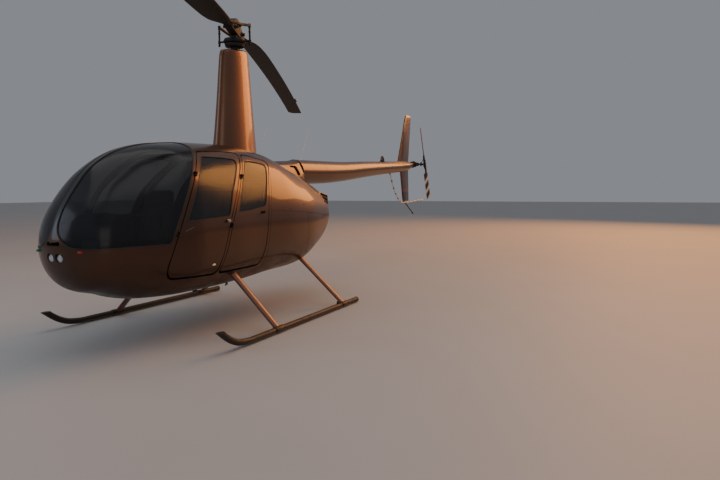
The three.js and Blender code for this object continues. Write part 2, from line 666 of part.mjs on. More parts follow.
function swashplate() {
  const ring = turned([[SHAFT_BORE, 3012], [119, 3012], [125, 3032], [112, 3058], [SHAFT_BORE, 3066]], 20);
  const [x, y, z] = LINK.foot;
  const sides = [1, -1].map((side) => joined(
    rod([side * x, side * y, 3032], [side * 60, side * 10, 3032], 12, 8),
    rod([side * x, side * y, z], [side * LINK.top[0], side * LINK.top[1], LINK.top[2]], 11, 8),
    rod([side * x, side * (y - 12), z + 8], [side * x, side * (y + 12), z + 8], 14, 10),
    rod([side * x, side * (y - 4), 3000], [side * x, side * (y + 4), 3044], 13, 8)));
  return joined(ring, ...sides);
}

function mastTube() {
  return turned([[SHAFT_BORE, 2700], [MAST_TUBE_R, 2700], [MAST_TUBE_R, 2966], [104, 2972], [112, 3004],
    [SHAFT_BORE, 3004]], 24);
}

function tailHub() {
  return joined(
    rod([0, 70 + TOUCH, 0], [0, 262, 0], TAIL_SHAFT_R, 20),
    rod([0, 232, 0], [0, 268, 0], 34, 20),
    block([-26, 26], [238, 262], [-95, 95]),
    rod([0, 160, 0], [0, 176, 0], 40, 20),
    ...[1, -1].map((side) => rod([side * 38, 168, 0], [side * 34, 246, side * 120], 6, 8)),
  );
}

function tailBlade() {
  const stations = [[95 + TOUCH, 26, 24], [150, 26, 22], [205, TAIL_CHORD * 0.4, 16], [TAIL_R - 15, TAIL_CHORD * 0.4, 14],
    [TAIL_R, TAIL_CHORD * 0.34, 9]];
  return loft(stations.map(([r, lead, thickness], i) => {
    const trail = i < 2 ? -26 : lead - TAIL_CHORD;
    const pitch = i < 2 ? 0 : TAIL_PITCH;
    return aerofoilSection(lead, trail, thickness).map(([u, h]) => new THREE.Vector3(
      u * Math.cos(pitch) - h * Math.sin(pitch), 250 + u * Math.sin(pitch) + h * Math.cos(pitch), r));
  }));
}

// Landing gear
function skid() {
  const shoes = Object.values(LEGS).map(([x]) => block([x - SHOE.half, x + SHOE.half],
    [SKID_Y - SHOE.width / 2, SKID_Y + SHOE.width / 2], [0, SHOE.top]));
  const lug = block(WHEEL_LUG.x, [SKID_Y - WHEEL_LUG.half, SKID_Y + WHEEL_LUG.half], WHEEL_LUG.z);
  const above = block([SKID_PATH[4][0], SKID_PATH[0][0] + 100], [SKID_Y - 50, SKID_Y + 50], [TOE_TOP, TOE_TOP + 200]);
  return joined(tube(SKID_PATH.map(([x, z]) => [x, SKID_Y, z]), SKID_R, 10, 26).subtract(above), lug, ...shoes);
}

function skidCut() {
  return rod([1250, SKID_Y, SKID_Z], [-1000, SKID_Y, SKID_Z], (SKID_R + TOUCH) / Math.cos(Math.PI / 10) + 0.1, 20);
}

function leg([x, topY, topZ]) {
  const [a, b] = [new THREE.Vector3(x, topY, topZ), new THREE.Vector3(x, SKID_Y, SKID_Z)];
  const along = b.clone().sub(a);
  const section = new THREE.Shape().absellipse(0, 0, LEG_CHORD / 2, LEG_THICK / 2, 0, Math.PI * 2);
  const bar = new THREE.ExtrudeGeometry(section, { depth: along.length(), bevelEnabled: false, curveSegments: 8 });
  const down = along.normalize();
  const turn = new THREE.Matrix4().makeBasis(X, new THREE.Vector3().crossVectors(down, X), down);
  const strut = solid(bar.applyMatrix4(turn).translate(a.x, a.y, a.z));
  const cuff = rod([x - 75, SKID_Y, SKID_Z], [x + 75, SKID_Y, SKID_Z], SKID_R + 9, 20)
    .subtract(block([x - 100, x + 100], [SKID_Y - 80, SKID_Y + 80], [-80, SHOE.top + TOUCH]));
  return joined(strut, cuff).subtract(skidCut()).subtract(grownSkin);
}

// Lamps and aerials
function lamp(x, z, size) {
  const y = skinY(x, z);
  const bulb = new THREE.SphereGeometry(size, 16, 10).scale(1.5, 0.8, 0.8).translate(x, y, z);
  return solid(bulb).subtract(grownSkin);
}

function landingLights() {
  const lens = (y) => rod([2330, y, 845], [2424, y, 845], 38, 20);
  return joined(lens(-48), lens(48), block([2340, 2380], [-50, 50], [825, 865])).subtract(
    skin.subtract(block([2300, 2500], [-92, 92], [800, 890])));
}

function whip(foot, top, radius) {
  return joined(rod(foot, top, radius, 8, radius * 0.5), rod([foot[0], foot[1], foot[2] - 30],
    [foot[0], foot[1], foot[2] + 14], 18, 12)).subtract(grownSkin).subtract(grownSpine).subtract(grownBoom);
}

function beacon() {
  const [x, z] = [-4288, 1869];
  return joined(rod([x, 0, z - 40], [x, 0, z + 20], 42, 20), rod([x, 0, z + 15], [x, 0, z + 100], 36, 20, 24))
    .subtract(grownBoom);
}

// The assembly
const helicopter = new THREE.Group();
helicopter.position.x = AXIS_X;

function place(name, shape, material, parent = helicopter) {
  const mesh = new THREE.Mesh(geometryOf(shape), finish(material));
  mesh.name = name;
  parent.add(mesh);
  return mesh;
}

function placePair(name, shape, material) {
  place(`${name}_left`, shape, material);
  place(`${name}_right`, mirrored(shape), material);
}

const lightWell = joined(...[-48, 48].map((y) => rod([2300, y, 845], [2500, y, 845], 38 + TOUCH, 20)),
  block([2338, 2382], [-51, 51], [824, 866]));

place('fuselage_shell', fuselageShell().subtract(lightWell), 'paint');
placePair('windscreen', pane.intersect(screenRegion(TOUCH)), 'glass');
for (const name of ['front', 'rear']) {
  placePair(`${name}_door`, door(name), 'paint');
  placePair(`${name}_door_window`, doorWindow(name), 'glass');
}

place('cabin_floor', cabinFloor(), 'trim');
place('instrument_console', console_(), 'black');
const frontBottom = block([FRONT_BASE.x[0] + 2, FRONT_BASE.x[1] + 30], [80, 510],
  [FRONT_BASE.top + TOUCH, FRONT_BASE.top + CUSHION]);
placePair('front_seat_cushion', frontBottom, 'leather');
placePair('front_seat_back', leanBox(FRONT_BACK.foot, FRONT_BACK.head, FRONT_BACK.thickness, ...FRONT_BACK.y), 'leather');
place('rear_seat_cushion', block([282, REAR_BASE.x[1] + 20], [-540, 540],
  [REAR_BASE.top + TOUCH, REAR_BASE.top + CUSHION]), 'leather');
place('rear_seat_back', leanBox(REAR_BACK.foot, REAR_BACK.head, REAR_BACK.thickness, -REAR_BACK.half, REAR_BACK.half)
  .intersect(cabinRoom).intersect(seatRoom), 'leather');
place('cyclic_stick', cyclic(), 'black');
place('collective_left', collective(545, FRONT_BASE.y[1] + TOUCH), 'black');
place('collective_centre', collective(-35, -FRONT_BASE.y[0] + TOUCH), 'black');
placePair('pedals', pedals(), 'castMetal');

place('engine_block', engine(), 'castMetal');
place('exhaust_pipe', tube([[-500, 150, 680 - TOUCH], [-500, 150, 600], [-560, 150, 505], [-680, 150, 478]], 32, 12, 12),
  'castMetal');
place('cooling_fan', joined(rod([-950 - TOUCH, 0, 1045], [-1250, 0, 1045], 30, 12),
  rod([-1240, 0, 1045], [-1440, 0, 1045], 150, 28)), 'castMetal');

const bore = rod([0, 0, 2700 - TOUCH], [0, 0, 3100], MAST_TUBE_R + 0.7, 24);
place('mast_fairing', fairing.subtract(grownSkin).subtract(grownSpine).subtract(bore), 'paint');
place('mast_tube', mastTube(), 'steel');
place('spine_fairing', spine.subtract(grownBoom), 'paint');
place('tail_boom', boomSolid(0).subtract(grownSkin), 'paint');
place('upper_fin', finSolid(UPPER_FIN).subtract(grownBoom), 'paint');
place('lower_fin', finSolid(LOWER_FIN).subtract(grownBoom), 'paint');
place('stabiliser', stabiliser().subtract(grownBoom), 'paint');
place('tail_gearbox', tailGearbox(), 'castMetal');
place('tail_guard', tube(GUARD, GUARD_R, 8, 20).subtract(grownBoom), 'white');
const skidLug = block(SKID_LUG.x, SKID_LUG.y, SKID_LUG.z).subtract(tube(GUARD, GUARD_R + TOUCH + 0.1, 8, 20));
place('tail_skid', joined(tube(TAIL_SKID, 10, 8, 10), skidLug), 'dark');
place('beacon', beacon(), 'redLamp');

placePair('skid', skid(), 'dark');
for (const name of ['front', 'rear']) placePair(`${name}_leg`, leg(LEGS[name]), 'copper');

place('nav_light_left', lamp(2364, 896, 24), 'redLamp');
place('nav_light_right', mirrored(lamp(2364, 896, 24)), 'greenLamp');
place('landing_lights', landingLights(), 'clearLamp');
place('front_aerial', whip([-416, 0, 1736], [-620, 0, 2150], 5), 'steel');
place('rear_aerial', whip([-1425, 0, 1775], [-1655, 0, 2220], 5), 'steel');

const mainRotor = new THREE.Group();
mainRotor.rotation.z = ROTOR_AZIMUTH;
helicopter.add(mainRotor);
place('rotor_shaft', rod([0, 0, 2740], [0, 0, SHAFT_TOP], SHAFT_R, 32), 'steel', mainRotor);
place('swashplate', swashplate(), 'steel', mainRotor);
place('rotor_hub', hub(), 'castMetal', mainRotor);
place('main_blade_front', mainBlade(), 'black', mainRotor);
place('main_blade_rear', mainBlade(), 'black', mainRotor).rotation.z = Math.PI;

const tailRotor = new THREE.Group();
tailRotor.position.set(TAIL_HUB.x, 0, TAIL_HUB.z);
tailRotor.rotation.y = TAIL_TILT;
helicopter.add(tailRotor);
place('tail_rotor_hub', tailHub(), 'steel', tailRotor);
place('tail_blade_upper', tailBlade(), 'black', tailRotor);
place('tail_blade_lower', tailBlade(), 'black', tailRotor).rotation.y = Math.PI;

export default helicopter;
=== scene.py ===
"""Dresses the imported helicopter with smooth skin, glass, doors, seats, rotors, boom and landing gear.

Places are in metres from the foot of the main rotor's axis on the ground: x forward, y to port, z up.
Tables are written in millimetres. Angles are in radians where no unit is named.
"""

import bpy
import numpy as np
from mathutils import Matrix, Vector


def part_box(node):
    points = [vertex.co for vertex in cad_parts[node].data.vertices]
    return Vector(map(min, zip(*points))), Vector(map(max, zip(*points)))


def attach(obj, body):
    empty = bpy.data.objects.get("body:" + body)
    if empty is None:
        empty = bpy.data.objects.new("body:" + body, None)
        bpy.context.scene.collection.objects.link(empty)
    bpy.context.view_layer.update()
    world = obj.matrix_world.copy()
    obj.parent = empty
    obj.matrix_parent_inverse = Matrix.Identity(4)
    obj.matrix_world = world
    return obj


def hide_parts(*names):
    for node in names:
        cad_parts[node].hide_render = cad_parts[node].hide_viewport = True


bl_info = {
    "name": "Light helicopter",
    "version": (1, 0, 0),
    "blender": (4, 5, 0),
    "location": "View3D > Sidebar > Helicopter",
    "description": "Builds the skin, cabin, rotors and landing gear of a light helicopter on its frame",
    "category": "Add Mesh",
}

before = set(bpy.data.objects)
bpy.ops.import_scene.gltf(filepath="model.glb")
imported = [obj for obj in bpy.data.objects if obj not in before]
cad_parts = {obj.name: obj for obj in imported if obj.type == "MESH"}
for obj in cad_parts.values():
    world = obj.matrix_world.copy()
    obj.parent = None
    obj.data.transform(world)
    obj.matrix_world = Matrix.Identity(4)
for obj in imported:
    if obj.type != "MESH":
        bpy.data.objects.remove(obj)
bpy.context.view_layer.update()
MAST_X = sum(corner.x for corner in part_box("rotor_shaft")) / 2
MM = 0.001

# Fuselage sections from nose to tail, each half a superellipse.
# Columns: x, lowest z, highest z, z of the widest line, half width, then upper and lower power.
BODY = np.array([
    [2430.5, 940, 940, 940, 0, 2.0, 2.0],
    [2427, 900, 980, 940, 50, 2.0, 2.0],
    [2370, 700, 1180, 930, 226, 2.0, 2.2],
    [2250, 563, 1366, 930, 382, 1.9, 2.05],
    [2050, 502, 1580, 930, 466, 1.9, 2.1],
    [1750, 418, 1736, 940, 564, 1.95, 2.6],
    [1350, 396, 1817, 950, 641, 2.3, 2.9],
    [900, 390, 1850, 960, 641, 2.25, 2.9],
    [400, 396, 1860, 970, 631, 2.35, 2.8],
    [-100, 419, 1813, 980, 636, 2.35, 2.6],
    [-600, 440, 1680, 1000, 616, 2.2, 2.75],
    [-1050, 561, 1546, 1030, 539, 2.15, 2.6],
    [-1400, 727, 1427, 1070, 442, 2.05, 2.3],
    [-1585, 937, 1295, 1120, 251, 2.05, 2.1],
    [-1649, 1080, 1200, 1140, 50, 2.0, 2.0],
    [-1652.5, 1140, 1140, 1140, 0, 2.0, 2.0],
]) * [MM, MM, MM, MM, MM, 1, 1]
WALL = 0.025
# The gap between pieces that are seated on each other.
HAIR = 0.0003
PANE_OUTER, PANE_INNER = 0.004, 0.009

# Outlines on the port side seen from the side, as x and z.
SILL_Z = 913
SCREEN_REAR = [[1722, SILL_Z], [1681, 1019], [1631, 1118], [1567, 1235], [1495, 1354], [1423, 1460],
        [1338, 1560], [1248, 1653], [1142, 1745], [1095, 1790], [1085, 1900]]
DOOR_FRONT = [[1700, 615], [1738, 665], [1742, 735], [1722, 815], [1670, 955], [1606, 1103], [1541, 1230],
        [1468, 1355], [1390, 1460], [1306, 1560], [1213, 1656], [1130, 1722]]
RAIL_FRONT = [[1090, 1744], [789, 1762], [560, 1758]]
B_LINE = [[475, 1746], [528, 1686], [719, 1477], [858, 1280], [948, 1126], [1009, 981], [1070, 811],
        [1146, 600]]
RAIL_REAR = [[293, 1734], [144, 1706], [50, 1690]]
DOOR_REAR = [[45, 1655], [128, 1570], [208, 1479], [286, 1273], [314, 1141], [343, 952], [385, 748],
        [412, 650], [450, 600]]
FRONT_WINDOW = [[1095, 1702], [820, 1702], [704, 1698], [622, 1688], [620, 1652], [763, 1499], [882, 1357],
        [940, 1235], [985, 1140], [1010, 1124], [1299, 1113], [1545, 1103], [1553, 1120], [1467, 1281],
        [1406, 1379], [1333, 1469], [1269, 1542], [1208, 1607], [1125, 1687]]
REAR_WINDOW = [[450, 1680], [361, 1681], [242, 1671], [136, 1658], [116, 1630], [215, 1500], [288, 1374],
        [340, 1236], [366, 1203], [655, 1167], [828, 1160], [842, 1176], [770, 1316], [688, 1446],
        [555, 1600], [487, 1664]]
# Lower inner corner of a windscreen half and the edge of the centre bow, as y and z.
SCREEN_CORNER = [[22, 1900], [22, 1100], [36, 1046], [72, 992], [118, 946], [174, 921], [230, SILL_Z],
        [800, SILL_Z], [800, 1900]]
# Side view of the block that holds the cowl's louvres, high on its tail.
LOUVRE_BLOCK = [[-1150, 1335], [-1222, 1346], [-1410, 1312], [-1434, 1172], [-1230, 1150], [-1150, 1180]]
DOOR_GAP = 0.008
POST_AHEAD, POST_BEHIND = 0.014, 0.026
POST_DEPTH = 0.045
BULKHEAD = [[372, 380], [-50, 1900]]
HINGES = {"front": [[1338, 1523], [1654, 1000]], "rear": [[665, 1512], [968, 1040]]}
HINGE_PROUD = 0.016
# Wider gap round a doorway's foot and under it; then each door's middle x, the shift of its upper rear corner
# and the x that the corner lies behind.
SWING_FOOT, SWING_FOOT_TOP, SWING_SILL = 0.005, 0.76, 0.012
SWING = {"front": (1.400, 0.009, 0.560), "rear": (0.750, 0.014, 0.060)}
HANDLES = {"front": [1030, 1085], "rear": [412, 1148]}

# Mast fairing: columns z, front x, rear x, half width, and how far its front dips below its rear.
FAIRING = np.array([[1700, 400, -340, 162, 0], [1860, 378, -322, 147, 0], [2000, 356, -308, 137, 0],
        [2400, 304, -268, 115, 0], [2800, 258, -226, 97, 0], [2930, 240, -212, 88, 46],
        [2956, 212, -186, 72, 49], [2962, 160, -138, 48, 50],]) * MM
FAIRING_SEAM = -0.066
# Raised spine: columns x, top z, half width.
SPINE = np.array([
    [-300, 1640, 110], [-450, 1690, 160], [-600, 1724, 180], [-800, 1735, 186], [-1000, 1745, 187],
    [-1140, 1758, 186], [-1230, 1776, 172],
]) * MM
SPINE_BASE = 1.440
SPINE_SLOT = [[-926, 1684], [-1080, 1684], [-1122, 1558], [-968, 1558]]
# Tail boom: columns x, centre z, radius.
BOOM = np.array([
    [-1230, 1611, 163], [-1500, 1615, 162], [-2000, 1625, 160], [-2610, 1649, 148], [-3340, 1699, 133],
    [-4180, 1750, 115], [-5160, 1805, 99], [-5450, 1822, 88], [-5800, 1860, 44],
]) * MM
# Fins: columns z, front x, rear x.
UPPER_FIN = np.array([[1850, -5000, -5590], [1960, -5052, -5612], [2400, -5255, -5680], [2780, -5432, -5733],
        [2812, -5465, -5726]]) * MM
LOWER_FIN = np.array([[1147, -5318, -5618], [1175, -5300, -5630], [1450, -5228, -5616],
        [1790, -5138, -5598]]) * MM
GUARD = [[-4560, 15, 1740], [-4620, 18, 1640], [-4790, 26, 1370], [-5040, 30, 1166], [-5140, 30, 1132],
        [-5400, 34, 1122], [-5620, 55, 1130], [-5890, 95, 1150], [-6190, 130, 1172]]
TAIL_SKID = [[-5395, 0, 1122], [-5530, 0, 1070], [-5660, 0, 1003], [-5900, 0, 885]]

ROTOR_AZIMUTH = np.radians(24)
ROTOR_R, ROOT_Z, DROOP = 5.03, 3.150, 0.272
PITCH_AXIS, PITCH_TIP = np.radians(8), np.radians(4.5)
LINK_FOOT, LINK_TOP, HORN = [30, 178, 2984], [40, 178, 3172], [400, 40, 3146]
TAIL_HUB = np.array([-5.890, 0.250, 1.875])
TAIL_TILT, TAIL_PITCH = np.radians(22), np.radians(15)
TAIL_R, TAIL_CHORD = 0.737, 0.130

SKID_Y, SKID_R, SKID_Z = 1.050, 0.030, 0.034
SKID_PATH = [[1790, 252], [1715, 198], [1640, 143], [1560, 95], [1470, 60], [1370, 42], [1280, 34],
        [1200, 34], [400, 34], [-500, 34], [-938, 34]]
TOE_TOP = 0.198
# Legs: x, then y and z of the upper end.
LEGS = {"front": [823, 480, 592], "rear": [-594, 400, 617]}

# The photograph's camera: heading, pitch and roll in degrees, place, and focal length in millimetres.
CAMERA_ANGLES, CAMERA_PLACE, CAMERA_LENS = (204.811, -4.794, -0.212), (5.7012, 4.1737, 1.3783), 30.208
# Studio lights: name, place, aimed at, width, watts, colour.
LIGHTS = (
    ("overhead", (0.5, 0.5, 8.5), (0, 0, 1), 10, 200, (1.0, 0.97, 0.93)),
    ("warm_key", (-17, 6.0, 9.5), (-1.5, 0, 1.8), 10, 2300, (1.0, 0.40, 0.09)),
    ("cool_fill", (8.0, -4.5, 4.5), (1, 0, 1.2), 5, 140, (0.72, 0.82, 1.0)),
    ("front_fill", (7.5, 9.0, 3.0), (0, 0, 1.0), 6, 90, (1.0, 0.90, 0.82)),
)
SKY_COLOUR, SKY_STRENGTH = (0.74, 0.77, 0.84, 1), 0.33
FLOOR_REACH, FLOOR_LINES = 60, 41


def mm(table):
    """The table in metres, as an array."""
    return np.array(table, float) * MM


def smooth_curve(xs, ys):
    """Monotone cubic through a table's points, its slopes weighted by Fritsch and Carlson's rule."""
    order = np.argsort(xs)
    px, py = np.asarray(xs, float)[order], np.asarray(ys, float)[order]
    step = np.diff(px)
    slope = np.diff(py) / step
    a, b = 2 * step[1:] + step[:-1], step[1:] + 2 * step[:-1]
    turning = slope[:-1] * slope[1:] <= 0
    safe = [np.where(turning, 1, side) for side in (slope[:-1], slope[1:])]
    inner = np.where(turning, 0, (a + b) / (a / safe[0] + b / safe[1]))
    tangent = np.concatenate([slope[:1], inner, slope[-1:]])

    def curve(x):
        i = np.clip(np.searchsorted(px, x) - 1, 0, len(step) - 1)
        t = (x - px[i]) / step[i]
        return ((2 * t**3 - 3 * t**2 + 1) * py[i] + (t**3 - 2 * t**2 + t) * step[i] * tangent[i]
                + (3 * t**2 - 2 * t**3) * py[i + 1] + (t**3 - t**2) * step[i] * tangent[i + 1])

    return curve


BODY_MIDDLE = (BODY[0, 0] + BODY[-1, 0]) / 2
BODY_REACH = (BODY[0, 0] - BODY[-1, 0]) / 2


def station(x):
    """The parameter along the fuselage, 0 at the nose and pi at the tail: x = middle + reach cos t."""
    return np.arccos(np.clip((np.asarray(x, float) - BODY_MIDDLE) / BODY_REACH, -1, 1))


BODY_CURVES = [smooth_curve(station(BODY[:, 0]), BODY[:, k]) for k in range(1, 7)]


def skin_points(t, angle):
    """Fuselage skin as a grid of stations t and angles a: (y, z - widest) = (half cos a, reach sin a) times
    (|cos a|^n + |sin a|^n)^(-1/n), where reach and the power n are those of the upper or the lower half."""
    t, angle = np.asarray(t, float)[:, None], np.asarray(angle, float)[None, :]
    low, high, wide, half, upper, lower = (curve(t) for curve in BODY_CURVES)
    c, s = np.cos(angle), np.sin(angle)
    power = np.where(s >= 0, upper, lower)
    reach = np.where(s >= 0, high - wide, wide - low)
    size = (np.abs(c) ** power + np.abs(s) ** power) ** (-1 / power)
    x = np.broadcast_to(BODY_MIDDLE + BODY_REACH * np.cos(t), size.shape)
    return np.stack([x, half * c * size, wide + reach * s * size], -1)


def unit(vectors):
    return vectors / np.maximum(np.linalg.norm(vectors, axis=-1, keepdims=True), 1e-12)


def skin(t, angle, depth=0.0):
    """The skin moved inwards by a depth along its normals, the cross product of its two slopes."""
    e = 1e-4
    along = skin_points(t + e, angle) - skin_points(t - e, angle)
    round_ = skin_points(t, angle + e) - skin_points(t, angle - e)
    return skin_points(t, angle) - depth * unit(np.cross(along, round_))


def skin_y(x, z):
    """Half width of the skin at x and z: half (1 - (|z - widest| / reach)^n)^(1/n)."""
    low, high, wide, half, upper, lower = (curve(station(x)) for curve in BODY_CURVES)
    above = z >= wide
    reach, power = np.where(above, high - wide, wide - low), np.where(above, upper, lower)
    return half * np.maximum(1 - np.abs((z - wide) / reach) ** power, 0) ** (1 / power)


def skin_normal(x, z):
    """Outward unit normal of the port side at x and z, from the slopes of its half width."""
    e = 1e-3
    return unit(np.stack([-(skin_y(x + e, z) - skin_y(x - e, z)) / (2 * e), np.ones_like(x),
            -(skin_y(x, z + e) - skin_y(x, z - e)) / (2 * e)], -1))


# Forms: a closed shell is a tuple of points, faces and the finish number of each face.
def quads(rows, cols, ring=True):
    """Corners of the quads between neighbouring points of a grid, joined round each row if it is a ring."""
    i, j = np.meshgrid(np.arange(rows - 1), np.arange(cols if ring else cols - 1), indexing="ij")
    k = (j + 1) % cols
    return np.stack([i * cols + j, i * cols + k, (i + 1) * cols + k, (i + 1) * cols + j], -1).reshape(-1, 4)


def outwards(points, faces, finishes):
    """The form with its faces turned outwards, by the sign of the volume that they enclose."""
    corners = [points[faces[:, k]] for k in range(4)]
    volume = sum(np.einsum("ij,ij->", corners[0], np.cross(corners[k], corners[k + 1])) for k in (1, 2))
    return points, faces if volume > 0 else faces[:, ::-1], finishes


def loft(rings, finish=0):
    """Skin through rings of points, an array of rings by points by 3, its ends closed by fans to their middles."""
    rows, cols = rings.shape[:2]
    points = np.vstack([rings.reshape(-1, 3), rings[[0, -1]].mean(1)])
    j = np.arange(cols)
    k, count = (j + 1) % cols, rows * cols
    ends = [np.stack([np.full(cols, count), k, j, j], -1), np.stack([np.full(cols, count + 1), (rows - 1)
            * cols + j, (rows - 1) * cols + k, (rows - 1) * cols + k], -1)]
    faces = np.vstack([quads(rows, cols), *ends])
    return outwards(points, faces, np.full(len(faces), finish))


def slab(outer, inner, finishes=(0, 1, 2)):
    """Closed plate between an outer and an inner grid, with finishes for outer side, inner side and edges."""
    rows, cols = outer.shape[:2]
    size = rows * cols
    skin_faces = quads(rows, cols, ring=False)
    lines = [np.arange(cols), np.arange(rows) * cols + cols - 1, (rows - 1) * cols + np.arange(cols)[::-1],
            np.arange(rows)[::-1] * cols]
    rim = np.concatenate([line[:-1] for line in lines])
    after = np.roll(rim, -1)
    edge = np.stack([after, rim, rim + size, after + size], -1)
    faces = np.vstack([skin_faces, skin_faces[:, ::-1] + size, edge])
    numbers = np.repeat(finishes, [len(skin_faces), len(skin_faces), len(edge)])
    return outwards(np.vstack([outer.reshape(-1, 3), inner.reshape(-1, 3)]), faces, numbers)


def rounded(corners, reach=0.05, steps=5):
    """Closed outline with each corner replaced by a parabola that starts at most `reach` before it."""
    corners = np.asarray(corners, float)

    def towards(other):
        span = other - corners
        length = np.linalg.norm(span, axis=1, keepdims=True)
        return corners + span * np.minimum(reach / length, 0.5)

    a, b = towards(np.roll(corners, 1, 0)), towards(np.roll(corners, -1, 0))
    t = np.linspace(0, 1, steps)[None, :, None]
    line = ((1 - t) ** 2 * a[:, None] + 2 * t * (1 - t) * corners[:, None] + t**2 * b[:, None]).reshape(-1, 2)
    return line[np.linalg.norm(line - np.roll(line, 1, 0), axis=1) > 1e-5]


def inset(outline, distance):
    """Every side of a closed outline moved inwards along its normal, or outwards if negative."""
    side = unit(np.roll(outline, -1, 0) - outline)
    area = np.sum(outline[:, 0] * np.roll(outline[:, 1], -1) - outline[:, 1] * np.roll(outline[:, 0], -1))
    normal = np.stack([-side[:, 1], side[:, 0]], -1) * np.sign(area)
    before = np.roll(normal, 1, 0)
    return outline + (before + normal) * (distance / (1 + np.sum(before * normal, axis=1)))[:, None]


AXES = {"x": [1, 2, 0], "y": [0, 2, 1], "z": [0, 1, 2]}


def prism(outline, low, high, axis="y", finish=0, edge=0.0):
    """An outline carried along an axis from low to high, its rims rounded over by an edge width."""
    order = np.argsort(AXES[axis])
    turns = np.linspace(0, np.pi / 2, 4) if edge else np.array([np.pi / 2])
    offsets = [(edge * (1 - np.sin(a)), edge * (1 - np.cos(a))) for a in turns]
    levels = [(inset(outline, off) if off else outline, low + up) for off, up in offsets]
    levels += [(inset(outline, off) if off else outline, high - up) for off, up in offsets[::-1]]
    rings = np.stack([np.column_stack([line, np.full(len(line), at)])[:, order] for line, at in levels])
    return loft(rings, finish)


def flat_prism(outline, low, high, axis="y", finish=0):
    """An outline of any shape carried along an axis, each end one flat face."""
    order = np.argsort(AXES[axis])
    count = len(outline)
    points = np.vstack([np.column_stack([outline, np.full(count, at)])[:, order] for at in (low, high)])
    j = np.arange(count)
    k = (j + 1) % count
    sides = np.stack([j, k, k + count, j + count], -1)
    area = np.sum(outline[:, 0] * outline[k, 1] - outline[:, 1] * outline[k, 0])
    if (area > 0) == (axis == "y"):
        sides = sides[:, ::-1]
        caps = [j.tolist(), (j[::-1] + count).tolist()]
    else:
        caps = [j[::-1].tolist(), (j + count).tolist()]
    return points, [*sides.tolist(), *caps], np.full(count + 2, finish)


def box_outline(u, v, radius=0.0, steps=5):
    """Rectangle from its u and v limits, with corners of a radius."""
    corners = np.array([[u[0], v[0]], [u[1], v[0]], [u[1], v[1]], [u[0], v[1]]], float)
    return rounded(corners, radius * 1.3, steps) if radius else corners


def board(x, y, z, edge=0.004, finish=0, axis="z"):
    """A block with rounded edges, from its limits on each axis."""
    limits = [x, y, z]
    u, v, w = (limits[k] for k in AXES[axis])
    return prism(box_outline(u, v, edge * 1.2, 4), *w, axis, finish, edge)


def spline(points, count):
    """Centripetal Catmull-Rom curve: cubics whose knots are the square roots of the points' gaps."""
    p = np.asarray(points, float)
    p = np.vstack([2 * p[0] - p[1], p, 2 * p[-1] - p[-2]])
    d = np.sqrt(np.linalg.norm(np.diff(p, axis=0), axis=1, keepdims=True))
    d0, d1, d2 = d[:-2], d[1:-1], d[2:]
    a, b = p[1:-2], p[2:-1]
    start = ((a - p[:-3]) / d0 - (b - p[:-3]) / (d0 + d1)) * d1 + (b - a)
    end = ((p[3:] - b) / d2 - (p[3:] - a) / (d1 + d2)) * d1 + (b - a)
    u = np.linspace(0, len(a), count)
    i = np.minimum(u.astype(int), len(a) - 1)
    t = (u - i)[:, None]
    return ((2 * t**3 - 3 * t**2 + 1) * a[i] + (t**3 - 2 * t**2 + t) * start[i]
            + (3 * t**2 - 2 * t**3) * b[i] + (t**3 - t**2) * end[i])


def sweep(path, section, across=(0, 1, 0), finish=0, scale=1.0):
    """A section of two columns carried along a path: the first lies along `across`, squared to the path, and the
    second is square to both."""
    path = np.asarray(path, float)
    tangent = unit(np.gradient(path, axis=0))
    first = unit(np.asarray(across, float) - tangent * (tangent @ np.asarray(across, float))[:, None])
    second = np.cross(tangent, first)
    scale = np.broadcast_to(np.asarray(scale, float), len(path))[:, None, None]
    section = np.asarray(section, float)
    rings = (path[:, None] + scale * section[None, :, :1] * first[:, None] + scale * section[None, :, 1:]
            * second[:, None])
    return loft(rings, finish)


def circle(radius, sides=24, squash=1.0):
    """Points round an ellipse: radius cos a and squash radius sin a."""
    a = np.linspace(0, 2 * np.pi, sides, endpoint=False)
    return np.column_stack([radius * np.cos(a), squash * radius * np.sin(a)])


def tube(path, radius, sides=20, across=(0, 1, 0), finish=0):
    """A round bar along a path, its ends domed over their last radius."""
    path = np.asarray(path, float)
    ends = [np.linspace(0, 1, 5)[1:-1][:, None] * radius * 0.35 * unit(step)
            for step in (path[0] - path[1], path[-1] - path[-2])]
    line = np.vstack([path[0] + ends[0][::-1], path, path[-1] + ends[1]])
    dome = np.sqrt(1 - np.linspace(0, 0.95, 4)[1:] ** 2)
    scale = np.concatenate([dome[::-1], np.ones(len(path)), dome])
    return sweep(line, circle(radius, sides), across, finish, scale)


def turned_rings(profile, foot, head, sides):
    """Rings about the line from foot to head: the profile's columns are the way along it and the radius."""
    foot, head = np.asarray(foot, float), np.asarray(head, float)
    way = unit(head - foot)
    side = unit(np.cross(way, [0.3, 0.9, 0.2] if abs(way[1]) < 0.8 else [1, 0, 0.2]))
    up = np.cross(way, side)
    a = np.linspace(0, 2 * np.pi, sides, endpoint=False)
    ring = np.cos(a)[:, None] * side + np.sin(a)[:, None] * up
    profile = np.asarray(profile, float)
    return foot + profile[:, :1, None] * way + profile[:, 1:, None] * ring


def turned(profile, foot, head, sides=32, finish=0):
    """A turned shape closed at both ends, from a profile that starts and ends at its middle."""
    return loft(turned_rings(profile, foot, head, sides), finish)


def lathe(outline, foot, head, sides=48, finish=0):
    """A bored turned shape: a closed outline carried once round the line from foot to head."""
    rings = turned_rings(outline, foot, head, sides)
    faces = quads(len(rings) + 1, sides) % (len(rings) * sides)
    return outwards(rings.reshape(-1, 3), faces, np.full(len(faces), finish))


